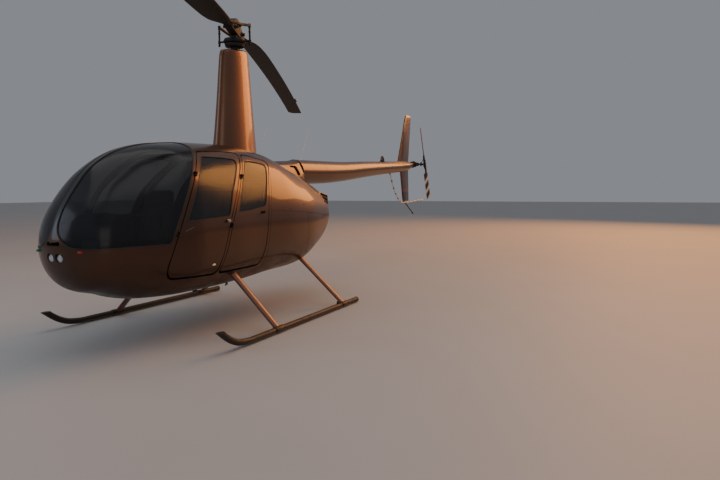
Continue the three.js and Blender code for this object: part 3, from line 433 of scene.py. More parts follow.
def rod(foot, head, radius, head_radius=None, edge=0.0015, sides=24, finish=0):
    """A straight round bar with its rims broken by an edge width."""
    end = radius if head_radius is None else head_radius
    length = np.linalg.norm(np.subtract(head, foot))
    profile = [[0, radius - edge], [edge, radius], [length - edge, end], [length, end - edge]]
    return turned(profile, foot, head, sides, finish)


def sphere(centre, radii, finish=0, rows=16, sides=24):
    """An ellipsoid on the three axes: its radii times (cos b cos a, cos b sin a, sin b)."""
    b = np.linspace(-np.pi / 2 + 0.05, np.pi / 2 - 0.05, rows)[:, None]
    a = np.linspace(0, 2 * np.pi, sides, endpoint=False)[None, :]
    rings = np.stack([np.cos(b) * np.cos(a), np.cos(b) * np.sin(a), np.sin(b) + 0 * a], -1)
    return loft(np.asarray(centre) + rings * np.asarray(radii), finish)


def hexagon(foot, head, radius, finish=0):
    """A six-sided nut or bolt head."""
    length = np.linalg.norm(np.subtract(head, foot))
    edge = min(0.002, length / 4)
    profile = [[0, radius * 0.93], [edge, radius], [length - edge, radius], [length, radius * 0.93]]
    return turned(profile, foot, head, 6, finish)


def bolt_ring(radius, low, high, size, first=0.0):
    """Twelve bolt heads between two heights in a ring round the main rotor's axis, from a first angle."""
    angle = first + np.linspace(0, 2 * np.pi, 12, endpoint=False)
    places = radius * np.column_stack([np.cos(angle), np.sin(angle)])
    return [hexagon((x, y, low), (x, y, high), size) for x, y in places]


def mirrored(form):
    """The form on the other side of the plane y = 0, its faces turned outwards again."""
    points, faces, finishes = form
    turned_over = faces[:, ::-1] if isinstance(faces, np.ndarray) else [face[::-1] for face in faces]
    return points * [1, -1, 1], turned_over, finishes


def turned_about(forms, angle, axis="Z", centre=(0, 0, 0)):
    """Forms turned by an angle about an axis through a centre."""
    matrix = np.array(Matrix.Rotation(angle, 3, axis))
    return [((points - centre) @ matrix.T + centre, faces, finishes) for points, faces, finishes in forms]


def mesh_of(name, forms, materials):
    """One mesh of several closed shells, moved from the mast's frame to the row's. Materials are names in one
    string, parted by spaces."""
    points, faces, finishes, count = [], [], [], 0
    for form_points, form_faces, form_finishes in forms:
        points.append(form_points)
        listed = form_faces.tolist() if isinstance(form_faces, np.ndarray) else form_faces
        faces += [[v + count for v in dict.fromkeys(face)] for face in listed]
        finishes.append(form_finishes)
        count += len(form_points)
    mesh = bpy.data.meshes.new(name)
    mesh.from_pydata((np.vstack(points) + [MAST_X, 0, 0]).tolist(), [], faces)
    for finish in materials.split():
        mesh.materials.append(material(finish))
    mesh.polygons.foreach_set("material_index", np.concatenate(finishes).astype(np.int32))
    mesh.polygons.foreach_set("use_smooth", np.ones(len(faces), bool))
    return mesh


CUT, KEEP, JOIN = "DIFFERENCE", "INTERSECT", "UNION"


def object_of(name, forms, materials):
    piece = bpy.data.objects.new(name, mesh_of(name, forms, materials))
    bpy.context.scene.collection.objects.link(piece)
    return piece


def coordinates(mesh):
    """A mesh's points, three columns in the row's frame."""
    points = np.empty(len(mesh.vertices) * 3, np.float32)
    mesh.vertices.foreach_get("co", points)
    return points.reshape(-1, 3)


def form_of(piece):
    """An object's mesh as a form again, in the mast's frame."""
    mesh = piece.data
    finishes = np.empty(len(mesh.polygons), np.int32)
    mesh.polygons.foreach_get("material_index", finishes)
    faces = [list(polygon.vertices) for polygon in mesh.polygons]
    return coordinates(mesh).astype(float) - [MAST_X, 0, 0], faces, finishes


def freed(piece):
    """An object's form, the object itself removed."""
    form = form_of(piece)
    bpy.data.objects.remove(piece)
    return form


def starboard_tool(piece, materials):
    """A mirrored copy of an object, for a Boolean step."""
    return object_of(f"{piece.name}_right", [mirrored(form_of(piece))], materials)


def evaluated(piece):
    return piece.evaluated_get(bpy.context.evaluated_depsgraph_get())


def carved(name, form, materials, *steps):
    """An object made from a form by Boolean steps: pairs of an operation and the form or object it uses."""
    piece = object_of(name, [form], materials)
    tools = []
    for operation, tool in steps:
        tools.append(tool if isinstance(tool, bpy.types.Object) else object_of("tool", [tool], materials))
        modifier = piece.modifiers.new("step", "BOOLEAN")
        modifier.operation, modifier.solver, modifier.object = operation, "MANIFOLD", tools[-1]
    made = bpy.data.meshes.new_from_object(evaluated(piece))
    if not len(made.polygons):
        raise RuntimeError(f"{name}: the Boolean steps left nothing")
    piece.modifiers.clear()
    piece.data = made
    made.name = name
    for tool in tools:
        bpy.data.objects.remove(tool)
    return piece


def crease(piece, degrees=32):
    """Smooth shading everywhere but at edges sharper than an angle."""
    piece.data.polygons.foreach_set("use_smooth", np.ones(len(piece.data.polygons), bool))
    piece.data.set_sharp_from_angle(angle=np.radians(degrees))


def fit(piece, slot, *nodes, body="airframe", degrees=32):
    """Finishes a piece: its creases, its body and the nodes that it stands for, which it hides. Its slot is not
    used.
    """
    crease(piece, degrees)
    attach(piece, body)
    if nodes:
        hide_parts(*nodes)
    return piece


def make(name, forms, materials, slot, *nodes, body="airframe"):
    """A piece of several closed shells."""
    return fit(object_of(name, forms, materials), slot, *nodes, body=body)


def other_side(piece, name, slot, *nodes, body="airframe"):
    """A copy of a piece on the starboard side, its faces turned outwards again."""
    twin = piece.copy()
    twin.data = piece.data.copy()
    twin.name = twin.data.name = name
    twin.parent = None
    for key in list(twin.keys()):
        del twin[key]
    bpy.context.scene.collection.objects.link(twin)
    points = coordinates(twin.data)
    points[:, 1] *= -1
    twin.data.vertices.foreach_set("co", points.ravel())
    twin.data.flip_normals()
    twin.data.update()
    return fit(twin, slot, *nodes, body=body)


# Shader maths
class Wire:
    """A shader value that is added, multiplied and compared as a number is."""

    def __init__(self, finish, socket):
        self.finish, self.socket = finish, socket

    def maths(self, operation, *values, clamp=False):
        return self.finish.node("ShaderNodeMath", {"operation": operation, "use_clamp": clamp}, values)

    def __add__(self, other):
        return self.maths("ADD", self, other)

    def __sub__(self, other):
        return self.maths("SUBTRACT", self, other)

    def __rsub__(self, other):
        return self.maths("SUBTRACT", other, self)

    def __mul__(self, other):
        return self.maths("MULTIPLY", self, other)

    def __neg__(self):
        return self.maths("MULTIPLY", self, -1)

    def __abs__(self):
        return self.maths("ABSOLUTE", self)

    def __mod__(self, other):
        return self.maths("FLOORED_MODULO", self, other)

    __radd__ = __add__
    __rmul__ = __mul__

    def above(self, level, soft):
        """0 below the level and 1 above it, with a soft step of that width."""
        return self.maths("MULTIPLY", self - (level - soft / 2), 1 / soft, clamp=True)

    def below(self, level, soft):
        return 1 - self.above(level, soft)

    def positive(self):
        return self.maths("MAXIMUM", self, 0)

    def clamped(self):
        return self.maths("ADD", self, 0, clamp=True)


class Finish:
    """A material, the nodes made for it and its shader."""

    def __init__(self, name):
        self.material = bpy.data.materials.new(name)
        self.material.use_nodes = True
        self.tree = self.material.node_tree
        self.shader = self.tree.nodes["Principled BSDF"]
        self.place = self.node("ShaderNodeTexCoord", output="Object")

    def node(self, kind, settings=None, values=(), output=0):
        """A node of a type: its settings are set first, then its sockets' values or links by number or name."""
        node = self.tree.nodes.new(kind)
        for key, value in (settings or {}).items():
            setattr(node, key, value)
        for key, value in (values.items() if isinstance(values, dict) else enumerate(values)):
            self.join(node.inputs[key], value)
        return Wire(self, node.outputs[output])

    def join(self, socket, value):
        if isinstance(value, Wire):
            self.tree.links.new(value.socket, socket)
        elif isinstance(value, (tuple, list)) and len(value) == 3 and socket.type == "RGBA":
            socket.default_value = (*value, 1)
        else:
            socket.default_value = value

    def axes(self):
        split = self.node("ShaderNodeSeparateXYZ", values=(self.place,)).socket.node
        return [Wire(self, socket) for socket in split.outputs]

    def stretched(self, scale):
        return self.node("ShaderNodeVectorMath", {"operation": "MULTIPLY"}, (self.place, tuple(scale)))

    def noise(self, scale, detail, vector=None):
        return self.node("ShaderNodeTexNoise", values={
            "Vector": vector or self.place, "Scale": scale, "Detail": detail})

    def cells(self, scale, feature="F1"):
        return self.node("ShaderNodeTexVoronoi", {"feature": feature}, {
            "Vector": self.place, "Scale": scale}, "Distance")

    def mix(self, share, first, second):
        """A colour between two; on this node sockets 6 and 7 and output 2 are those for colours."""
        return self.node("ShaderNodeMix", {"data_type": "RGBA"}, {"Factor": share, 6: first, 7: second}, 2)

    def bump(self, height, strength, distance, below=None):
        values = {"Height": height, "Strength": strength, "Distance": distance}
        if below is not None:
            values["Normal"] = below
        return self.node("ShaderNodeBump", values=values)

    def set(self, **values):
        """Sets the shader's sockets, named with underscores, and returns the material."""
        for key, value in values.items():
            self.join(self.shader.inputs[key.replace("_", " ").title().replace("Ior", "IOR")], value)
        return self.material


def shade(colour, factor):
    return tuple(min(c * factor, 1) for c in colour)


# Finishes
FINISHES = {}


def paint_settings():
    return bpy.context.scene.helicopter_paint


def size_settings():
    return bpy.context.scene.helicopter_sizes


def material(name):
    """The material of that name, made by its function the first time it is asked for."""
    if name not in FINISHES:
        FINISHES[name] = MAKERS[name](Finish(name))
    return FINISHES[name]


def clear_coated(f, colour, marks=None, dust_top=0.62):
    """Metallic paint under clear coat: slow drift of shade, fine flakes, orange peel, and dust low down."""
    _, _, z = f.axes()
    drift = f.noise(1.1, 4).above(0.5, 0.5)
    flakes = f.cells(1400).above(0.55, 0.5)
    dirt = z.below(dust_top, 0.5) * f.noise(9, 5).above(0.5, 0.3)
    base = f.mix(drift, shade(colour, 0.88), shade(colour, 1.12))
    base = f.mix(flakes * 0.25, base, shade(colour, 1.9))
    base = f.mix(dirt * 0.5, base, (0.085, 0.066, 0.052))
    peel = f.bump(f.noise(70, 2), 0.05, 0.002)
    normal = peel
    if marks is not None:
        base = f.mix(marks.above(0.5, 0.6) * 0.7, base, shade(colour, 0.25))
        normal = f.bump(1 - marks, 0.6, 0.0015, peel)
    return f.set(Base_Color=base, Metallic=0.80, Roughness=0.31 + 0.1 * f.noise(26, 4) + dirt * 0.3,
            Coat_Weight=0.45 - dirt * 0.3, Coat_Roughness=0.05, Normal=normal)


def rings_at(f, axis, start, pitch, half):
    """1 on rings that repeat along an axis: 1 - distance to the nearest over half a ring's width."""
    return 1 - (abs((axis - start + pitch / 2) % pitch - pitch / 2)).above(half, half)


def rivets(f, along, around, start, pitch, spacing, size=0.0035):
    """1 on rivet heads: spots every `spacing` round a shell, in rows 14 mm from each ring of a pitch."""
    u = abs(abs((along - start + pitch / 2) % pitch - pitch / 2) - 0.014)
    v = abs(around % spacing - spacing / 2)
    return 1 - (u * u + v * v).above(size**2, size**2)


def body_paint(f):
    return clear_coated(f, tuple(paint_settings().body))


def shell_paint(f):
    """The body's paint, with the bow between the windscreen halves in black."""
    x, y, z = f.axes()
    body_paint(f)
    base = f.shader.inputs["Base Color"].links[0].from_socket
    bow = abs(y).below(0.026, 0.001) * (x - MAST_X).above(1.08, 0.002) * z.above(1.0, 0.002)
    return f.set(Base_Color=f.mix(bow, Wire(f, base), (0.010, 0.010, 0.011)), Metallic=0.8 - bow * 0.7)


def fairing_paint(f):
    """The mast fairing's paint: the body's colour lightened 2.2 times as a painted reflection of bright sky, with
    the upright seam between its front and rear halves.
    """
    x, _, _ = f.axes()
    # Painted sky reflection: the same body paint made 2.2 times lighter.
    return clear_coated(f, shade(paint_settings().body, 2.2), 1
            - abs(x - MAST_X - FAIRING_SEAM).above(0.002, 0.002))


def boom_paint(f):
    """The boom's paint with a seam and two rows of rivets at every frame."""
    x, y, z = f.axes()
    x = x - MAST_X
    centre = 1.649 + (-2.61 - x).positive() * 0.0612 - (x + 2.61).positive() * 0.0275
    angle = f.node("ShaderNodeMath", {"operation": "ARCTAN2"}, (z - centre, y))
    seams = rings_at(f, x, -1.23, 0.653, 0.0016)
    heads = rivets(f, x, angle * 0.13 + 10, -1.23, 0.653, 0.024)
    return clear_coated(f, tuple(paint_settings().body), seams.maths("MAXIMUM", seams, heads))


def fin_paint(f):
    """Paint of the fins and stabiliser, with two rivet rows along the spars."""
    x, _, z = f.axes()
    heads = rivets(f, x - MAST_X + 0.36 * (z - 1.85), z, -5.25, 0.32, 0.03)
    return clear_coated(f, tuple(paint_settings().body), heads)


def lower_fin_paint(f):
    """Paint of the lower fin, with a red warning band above a dark foot."""
    _, _, z = f.axes()
    fin_paint(f)
    base = f.shader.inputs["Base Color"].links[0].from_socket
    banded = f.mix(z.below(1.385, 0.004), Wire(f, base), (0.16, 0.032, 0.020))
    return f.set(Base_Color=f.mix(z.below(1.33, 0.004), banded, (0.035, 0.018, 0.012)))


def copper_paint(f):
    """Lighter copper paint of the legs, chipped to primer along their lower ends."""
    colour = tuple(paint_settings().legs)
    _, _, z = f.axes()
    chips = f.noise(160, 4).above(0.66, 0.05) * z.below(0.3, 0.4)
    base = f.mix(f.noise(7, 4).above(0.5, 0.6), shade(colour, 0.85), shade(colour, 1.1))
    base = f.mix(chips, base, (0.12, 0.11, 0.10))
    return f.set(Base_Color=base, Metallic=0.55, Roughness=0.38 + 0.18 * f.noise(30, 4), Coat_Weight=0.5,
            Coat_Roughness=0.12, Normal=f.bump(f.noise(140, 3) - chips, 0.08, 0.001))


def skid_paint(f):
    """Dark satin paint of the skid tubes, worn to dull metal underneath."""
    colour = tuple(paint_settings().skids)
    x, _, z = f.axes()
    scuffs = f.noise(38, 6, f.stretched((0.35, 1, 1))).above(0.6, 0.12)
    worn = z.below(0.022, 0.02) * f.noise(60, 4).above(0.42, 0.2)
    base = f.mix(scuffs * 0.5, colour, shade(colour, 2.6))
    base = f.mix(worn, base, (0.2, 0.18, 0.16))
    return f.set(Base_Color=base, Metallic=0.1 + worn * 0.4, Roughness=0.58 + scuffs * 0.2, Coat_Weight=0.06,
            Coat_Roughness=0.2, Normal=f.bump(f.noise(120, 4), 0.12, 0.001))


def blade_paint(f):
    """Matt black blade paint with faint lighter patches."""
    colour = tuple(paint_settings().blades)
    patches = f.noise(16, 4).above(0.5, 0.5)
    base = f.mix(patches * 0.6, shade(colour, 0.8), shade(colour, 1.8))
    return f.set(Base_Color=base, Roughness=0.62 + 0.16 * f.noise(45, 4), Metallic=0.0,
            Normal=f.bump(f.noise(220, 3), 0.06, 0.0008))


def guard_paint(f):
    """White paint with dark bands, as far apart along the tube as they are long."""
    x, _, z = f.axes()
    bands = rings_at(f, x + 0.55 * z, 0.03, 0.155, 0.018)
    chips = f.noise(90, 4).above(0.64, 0.05)
    base = f.mix(bands, tuple(paint_settings().white), (0.045, 0.03, 0.025))
    return f.set(Base_Color=f.mix(chips * 0.6, base, (0.2, 0.17, 0.14)), Roughness=0.4 + chips * 0.3,
            Coat_Weight=0.3, Coat_Roughness=0.1)


def tail_blade_paint(f):
    """Dark tail blade with three slanted white bands on the lower one, measured from the hub's own place."""
    x, _, z = f.axes()
    along = -((x - MAST_X - TAIL_HUB[0]) * np.sin(TAIL_TILT) + (z - TAIL_HUB[2]) * np.cos(TAIL_TILT))
    across = (x - MAST_X - TAIL_HUB[0]) * np.cos(TAIL_TILT) - (z - TAIL_HUB[2]) * np.sin(TAIL_TILT)
    bands = rings_at(f, along - across * 0.7, 0.325, 0.195, 0.038) * along.above(0.24, 0.002)
    dark = f.mix(f.noise(40, 4).above(0.5, 0.4), (0.006, 0.006, 0.006), (0.014, 0.013, 0.012))
    return f.set(Base_Color=f.mix(bands, dark, tuple(paint_settings().white)), Roughness=0.55,
            Coat_Weight=0.05, Coat_Roughness=0.2, Normal=f.bump(f.noise(200, 3), 0.05, 0.0006))


def brushed(f, colour=(0.42, 0.42, 0.43), rough=0.3):
    """Machined metal with fine turning marks and a film of oil."""
    marks = f.noise(180, 4, f.stretched((1, 1, 12)))
    oil = f.noise(11, 4).above(0.55, 0.3)
    base = f.mix(oil * 0.6, colour, shade(colour, 0.35))
    return f.set(Base_Color=base, Metallic=0.95, Roughness=rough + 0.18 * marks + oil * 0.1,
            Normal=f.bump(marks, 0.06, 0.0005))


def steel(f):
    return brushed(f)


def patchy(f, tones, patches, rough, rougher, grain, **constants):
    """Two tones in soft patches, the second rougher, over a fine grain. Patches are (scale, detail, level,
    softness), and the grain is (scale, detail, strength, depth)."""
    patch = f.noise(*patches[:2]).above(*patches[2:])
    normal = f.bump(f.noise(*grain[:2]), *grain[2:])
    return f.set(Base_Color=f.mix(patch, *tones), Roughness=rough + patch * rougher, Normal=normal, **constants)


def hub_metal(f):
    """Dark anodised and greasy metal of the rotor head."""
    return patchy(f, ((0.034, 0.031, 0.030), (0.014, 0.013, 0.012)), (14, 6, 0.5, 0.4), 0.46, 0.3,
                  (130, 4, 0.14, 0.001), Metallic=0.45)


def cast_metal(f):
    """Grey cast alloy: fine sand texture, darker where dirt gathers."""
    return patchy(f, ((0.25, 0.25, 0.25), (0.07, 0.066, 0.06)), (6, 6, 0.5, 0.5), 0.5, 0.25,
                  (260, 5, 0.3, 0.001), Metallic=0.7)


def glass(f):
    """Tinted acrylic sheet: thinner at a steep look and mirror-like at a grazing one."""
    facing = f.node("ShaderNodeLayerWeight", values={"Blend": 0.28}, output="Facing")
    streaks = f.noise(5, 5).above(0.55, 0.5)
    return f.set(Base_Color=tuple(paint_settings().glass), Roughness=0.15 + streaks * 0.05, IOR=1.42,
            Alpha=(0.46 + facing * 0.5).clamped())


def rubber(f):
    """Black rubber seal with a dull bloom."""
    return patchy(f, ((0.010, 0.010, 0.010), (0.03, 0.029, 0.028)), (35, 4, 0.5, 0.4), 0.62, 0.15,
                  (300, 3, 0.15, 0.0006))


def cabin_trim(f):
    """Moulded cabin lining with a leather-like grain."""
    grain = f.cells(420)
    shade_drift = f.noise(3, 3).above(0.5, 0.6)
    base = f.mix(shade_drift, (0.055, 0.048, 0.042), (0.085, 0.074, 0.064))
    return f.set(Base_Color=base, Roughness=0.72, Normal=f.bump(grain, 0.25, 0.0008))


def carpet(f):
    """Short looped carpet, in two tones of grey."""
    loops = f.cells(650)
    base = f.mix(loops.above(0.45, 0.5), (0.035, 0.033, 0.031), (0.085, 0.08, 0.075))
    return f.set(Base_Color=base, Roughness=0.95, Normal=f.bump(loops, 0.8, 0.002))


def black_trim(f):
    """Black crackle paint of panels and controls."""
    crackle = f.cells(900, feature="DISTANCE_TO_EDGE")
    base = f.mix(f.noise(12, 3).above(0.5, 0.4), (0.012, 0.012, 0.013), (0.024, 0.023, 0.023))
    return f.set(Base_Color=base, Roughness=0.55, Normal=f.bump(crackle, 0.35, 0.0006))


def leather(f):
    """Seat leather: cells of grain, soft creases and lighter rubbed patches."""
    colour = tuple(paint_settings().seats)
    grain = f.cells(330, feature="DISTANCE_TO_EDGE")
    rubbed = f.noise(6, 5).above(0.55, 0.35)
    base = f.mix(rubbed, shade(colour, 0.82), shade(colour, 1.25))
    base = f.mix(grain.below(0.07, 0.1) * 0.5, base, shade(colour, 0.4))
    creases = f.bump(f.noise(24, 5), 0.12, 0.003)
    return f.set(Base_Color=base, Roughness=0.5 + 0.15 * f.noise(50, 3) - rubbed * 0.08, Sheen_Weight=0.1,
            Normal=f.bump(grain, 0.4, 0.0008, creases))


def lens(f, colour):
    """Ribbed lamp lens: rings of a prism pattern in clear plastic."""
    x, y, z = f.axes()
    ribs = rings_at(f, z, 0, 0.006, 0.0015)
    return f.set(Base_Color=colour, Roughness=0.08, IOR=1.49, Alpha=0.85, Coat_Weight=1.0,
            Coat_Roughness=0.02, Normal=f.bump(ribs, 0.35, 0.001))


def red_lens(f):
    return lens(f, (0.42, 0.012, 0.008))


def beacon_lens(f):
    return lens(f, (0.05, 0.006, 0.005))


def green_lens(f):
    return lens(f, (0.01, 0.28, 0.09))


def clear_lens(f):
    facing = f.node("ShaderNodeLayerWeight", values={"Blend": 0.3}, output="Facing")
    ribs = rings_at(f, f.axes()[1], 0, 0.011, 0.002)
    return f.set(Base_Color=(0.9, 0.92, 0.95), Roughness=0.03, IOR=1.6, Alpha=(0.22 + facing * 0.6).clamped(),
            Coat_Weight=1.0, Coat_Roughness=0.01, Normal=f.bump(ribs, 0.2, 0.001))


def reflector(f):
    """Bright lamp bowl with a faint radial ripple."""
    ripple = f.noise(60, 2)
    return f.set(Base_Color=(0.85, 0.85, 0.84), Metallic=1.0, Roughness=0.08 + 0.06 * ripple,
            Normal=f.bump(ripple, 0.1, 0.001))


def soot(f):
    """Near-black steel: real soot on the exhaust and drains, and painted shade inside openings, slots, the mast's
    bore and the engine bay.
    """
    base = f.mix(f.noise(18, 5).above(0.5, 0.4), (0.02, 0.018, 0.016), (0.06, 0.05, 0.042))
    return f.set(Base_Color=base, Metallic=0.4, Roughness=0.75, Normal=f.bump(f.noise(150, 4), 0.3, 0.001))


def dial_face(f):
    """Instrument glass over a black face."""
    return f.set(Base_Color=(0.015, 0.015, 0.017), Roughness=0.08 + 0.04 * f.noise(60, 2), Coat_Weight=1.0,
            Coat_Roughness=0.02)


def pale_marks(f):
    return f.set(Base_Color=f.mix(f.noise(30, 2).above(0.5, 0.6), (0.62, 0.61, 0.57), (0.72, 0.71, 0.67)),
            Roughness=0.5)


def floor_paint(f):
    """Pale studio floor with the faintest mottling."""
    mottle = f.noise(0.7, 6).above(0.5, 0.6)
    grain = f.noise(60, 3)
    colour = tuple(paint_settings().floor)
    return f.set(Base_Color=f.mix(mottle, shade(colour, 0.97), shade(colour, 1.03)), Roughness=0.62,
            Normal=f.bump(grain, 0.04, 0.002))


MAKERS = {function.__name__: function for function in (body_paint, shell_paint, fairing_paint, boom_paint,
        fin_paint, lower_fin_paint, copper_paint, skid_paint, blade_paint, guard_paint, tail_blade_paint,
        steel, hub_metal, cast_metal, glass, rubber, cabin_trim, carpet, black_trim, leather, red_lens,
        beacon_lens, green_lens, clear_lens, reflector, soot, dial_face, pale_marks, floor_paint)}


# Openings in the fuselage
ROUNDED_REACH = 0.055


def b_line(shift):
    return mm(B_LINE) + [shift, 0]


def door_outline(name):
    """A door's own opening in side view: its front line, top rail and rear line."""
    if name == "front":
        lines = [mm(DOOR_FRONT), mm(RAIL_FRONT), b_line(POST_AHEAD)]
    else:
        lines = [b_line(-POST_BEHIND)[::-1], mm(RAIL_REAR), mm(DOOR_REAR)]
    return np.vstack(lines)


def door_panel_outline(name):
    return inset(rounded(door_outline(name), ROUNDED_REACH), DOOR_GAP / 2)


def doorway_outline(name):
    """The hole in the shell round a door, wider round its foot and at its upper rear corner for the swing."""
    middle, corner, corner_x = SWING[name]
    x, z = door_outline(name).T
    across = np.where(z < SWING_FOOT_TOP, np.sign(x - middle) * SWING_FOOT, 0)
    across -= np.where((x < corner_x) & (z > 1.6), corner, 0)
    wider = np.column_stack([x + across, np.where(z < 0.62, z - SWING_SILL, z)])
    return inset(rounded(wider, ROUNDED_REACH), -DOOR_GAP / 2)


def window_outline(name):
    return rounded(mm(FRONT_WINDOW if name == "front" else REAR_WINDOW), 0.03)


def side_prism(outline, low=0.2, high=0.8, finish=0):
    return flat_prism(outline, low, high, "y", finish)


def wall(x_from, x_to, angles, outer, inner, rows=110, cols=90, finishes=(0, 1, 2)):
    """A patch of the fuselage wall between two depths, from one x to another and between two angles."""
    t, a = np.linspace(station(x_from), station(x_to), rows), np.linspace(*np.radians(angles), cols)
    return slab(skin(t, a, outer), skin(t, a, inner), finishes)


def whole_skin(depth, rows=190, cols=160, finish=0):
    """The whole fuselage skin as one closed shell."""
    t = np.linspace(0.03, np.pi - 0.03, rows)
    return loft(skin(t, np.linspace(0, 2 * np.pi, cols, endpoint=False), depth), finish)


def screen_outlines(margin):
    """A windscreen half's opening: its outline in side view, and in front view."""
    side = np.vstack([mm(SCREEN_REAR), [[2.5, 1.9], [2.5, SILL_Z * MM]]])
    return inset(rounded(side, 0.03), margin), inset(rounded(mm(SCREEN_CORNER), 0.03), margin)


DOOR_PATCH = {"front": (1.85, 0.35, (-70, 80)), "rear": (1.25, -0.15, (-70, 80))}
SCREEN_PATCH = (2.428, 1.05, (-14, 90))


def latch(x, z, size=0.009):
    """Flush round fastener on the skin: a low turned disc on the skin's normal."""
    foot = np.array([x, skin_y(x, z), z])
    normal = skin_normal(np.array([x]), np.array([z]))[0]
    profile = [[-0.004, size], [0.001, size], [0.0025, size * 0.8], [0.003, size * 0.35], [0.0022, 0.001]]
    return turned(profile, foot, foot + normal, 20)


def both_sides(forms):
    return [*forms, *(mirrored(form) for form in forms)]


class HELICOPTER_OT_stage(bpy.types.Operator):
    """Camera at the photograph's place, pale floor and soft studio lights"""
    bl_idname = "helicopter.stage"
    bl_label = "Stage"

    def execute(self, context):
        scene = context.scene
        yaw, pitch, roll = np.radians(CAMERA_ANGLES)
        forward = np.array([np.cos(pitch) * np.cos(yaw), np.cos(pitch) * np.sin(yaw), np.sin(pitch)])
        level = np.array([np.sin(yaw), -np.cos(yaw), 0])
        up = np.cross(level, forward)
        right = np.cos(roll) * level + np.sin(roll) * up
        up = np.cos(roll) * up - np.sin(roll) * level
        camera = bpy.data.objects.new("camera", bpy.data.cameras.new("camera"))
        camera.data.sensor_width, camera.data.lens = 36, CAMERA_LENS
        camera.data.clip_end = 200
        turn = Matrix(np.column_stack([right, up, -forward]).tolist()).to_4x4()
        camera.matrix_world = Matrix.Translation(Vector(CAMERA_PLACE) + Vector((MAST_X, 0, 0))) @ turn
        scene.collection.objects.link(camera)
        scene.camera = camera

        line = np.linspace(-FLOOR_REACH, FLOOR_REACH, FLOOR_LINES)
        points = np.stack(np.meshgrid(line, line, [0.0], indexing="ij"), -1).reshape(-1, 3)
        mesh = bpy.data.meshes.new("floor")
        mesh.from_pydata(points.tolist(), [], quads(FLOOR_LINES, FLOOR_LINES, ring=False)[:, ::-1].tolist())
        mesh.materials.append(material("floor_paint"))
        floor = bpy.data.objects.new("floor", mesh)
        scene.collection.objects.link(floor)

        world = bpy.data.worlds.new("studio")
        world.use_nodes = True
        sky = world.node_tree.nodes["Background"]
        sky.inputs["Color"].default_value = SKY_COLOUR
        sky.inputs["Strength"].default_value = SKY_STRENGTH
        scene.world = world
        for name, place, aim, width, power, colour in LIGHTS:
            light = bpy.data.objects.new(name, bpy.data.lights.new(name, "AREA"))
            light.data.size, light.data.energy, light.data.color = width, power, colour
            way = Vector(aim) - Vector(place)
            light.matrix_world = (Matrix.Translation(Vector(place) + Vector((MAST_X, 0, 0)))
                    @ way.to_track_quat("-Z", "Y").to_matrix().to_4x4())
            scene.collection.objects.link(light)
        return {"FINISHED"}


def cowl_grooves(materials):
    """Panel joints of the engine cowl: narrow slots along lines in side view."""
    half, deep = size_settings().groove_width / 2, size_settings().groove_depth
    lines = [[[15, 1760], [78, 1660], [150, 1500], [214, 1340], [262, 1160], [300, 960], [330, 700],
            [345, 440]], [[262, 1160], [-300, 1130], [-900, 1080], [-1420, 1030]],
            [[-520, 1112], [-560, 800], [-590, 520]],]
    made = []
    for line in lines:
        path = spline(np.column_stack([mm(line), np.zeros(len(line))]), 60)[:, :2]
        normal = unit(np.gradient(path, axis=0))[:, ::-1] * [1, -1]
        outline = np.vstack([path + normal * half, (path - normal * half)[::-1]])
        low, high = path[:, 0].min() - 0.05, path[:, 0].max() + 0.05
        slot = carved("groove", wall(high, low, (-85, 85), -0.004, deep, 90, 70, (3, 3, 3)), materials,
                (KEEP, side_prism(outline, 0.02, 0.9, 3)))
        made += [slot, starboard_tool(slot, materials)]
    return made


def louvre_pockets():
    """Three slots through each louvre block, sloping down to the rear."""
    made = []
    for k in range(3):
        front, rear = np.array([-1.225, 1.325 - 0.046 * k]), np.array([-1.395, 1.290 - 0.050 * k])
        quad = np.array([front + [0, 0.011], rear + [0, 0.011], rear - [0, 0.011], front - [0, 0.011]])
        # Finish 2 is the near-black painted shade on the slot walls.
        pocket = side_prism(rounded(quad, 0.006), 0.372, 0.6, 2)
        made += [pocket, mirrored(pocket)]
    return made


def skin_fittings():
    """Fasteners, drains and hinge lugs that stand on the skin."""
    places = [(0.160, 1.084), (-0.117, 1.167), (-0.457, 1.208), (-0.75, 1.02), (-0.35, 0.72)]
    make("cowl_fasteners", both_sides([latch(x, z) for x, z in places]), "body_paint", "paint")
    stub = [rod((0.662, 0.325, 0.447), (0.662, 0.325, 0.40), 0.009, edge=0.002),
            rod((0.662, 0.325, 0.425), (0.690, 0.325, 0.395), 0.006)]
    make("belly_drains", both_sides(stub), "soot", "steel")
    lugs = [form for name in HINGES for form in hinge_forms(name)["lugs"]]
    make("hinge_lugs", both_sides(lugs), "shell_paint", "paint")


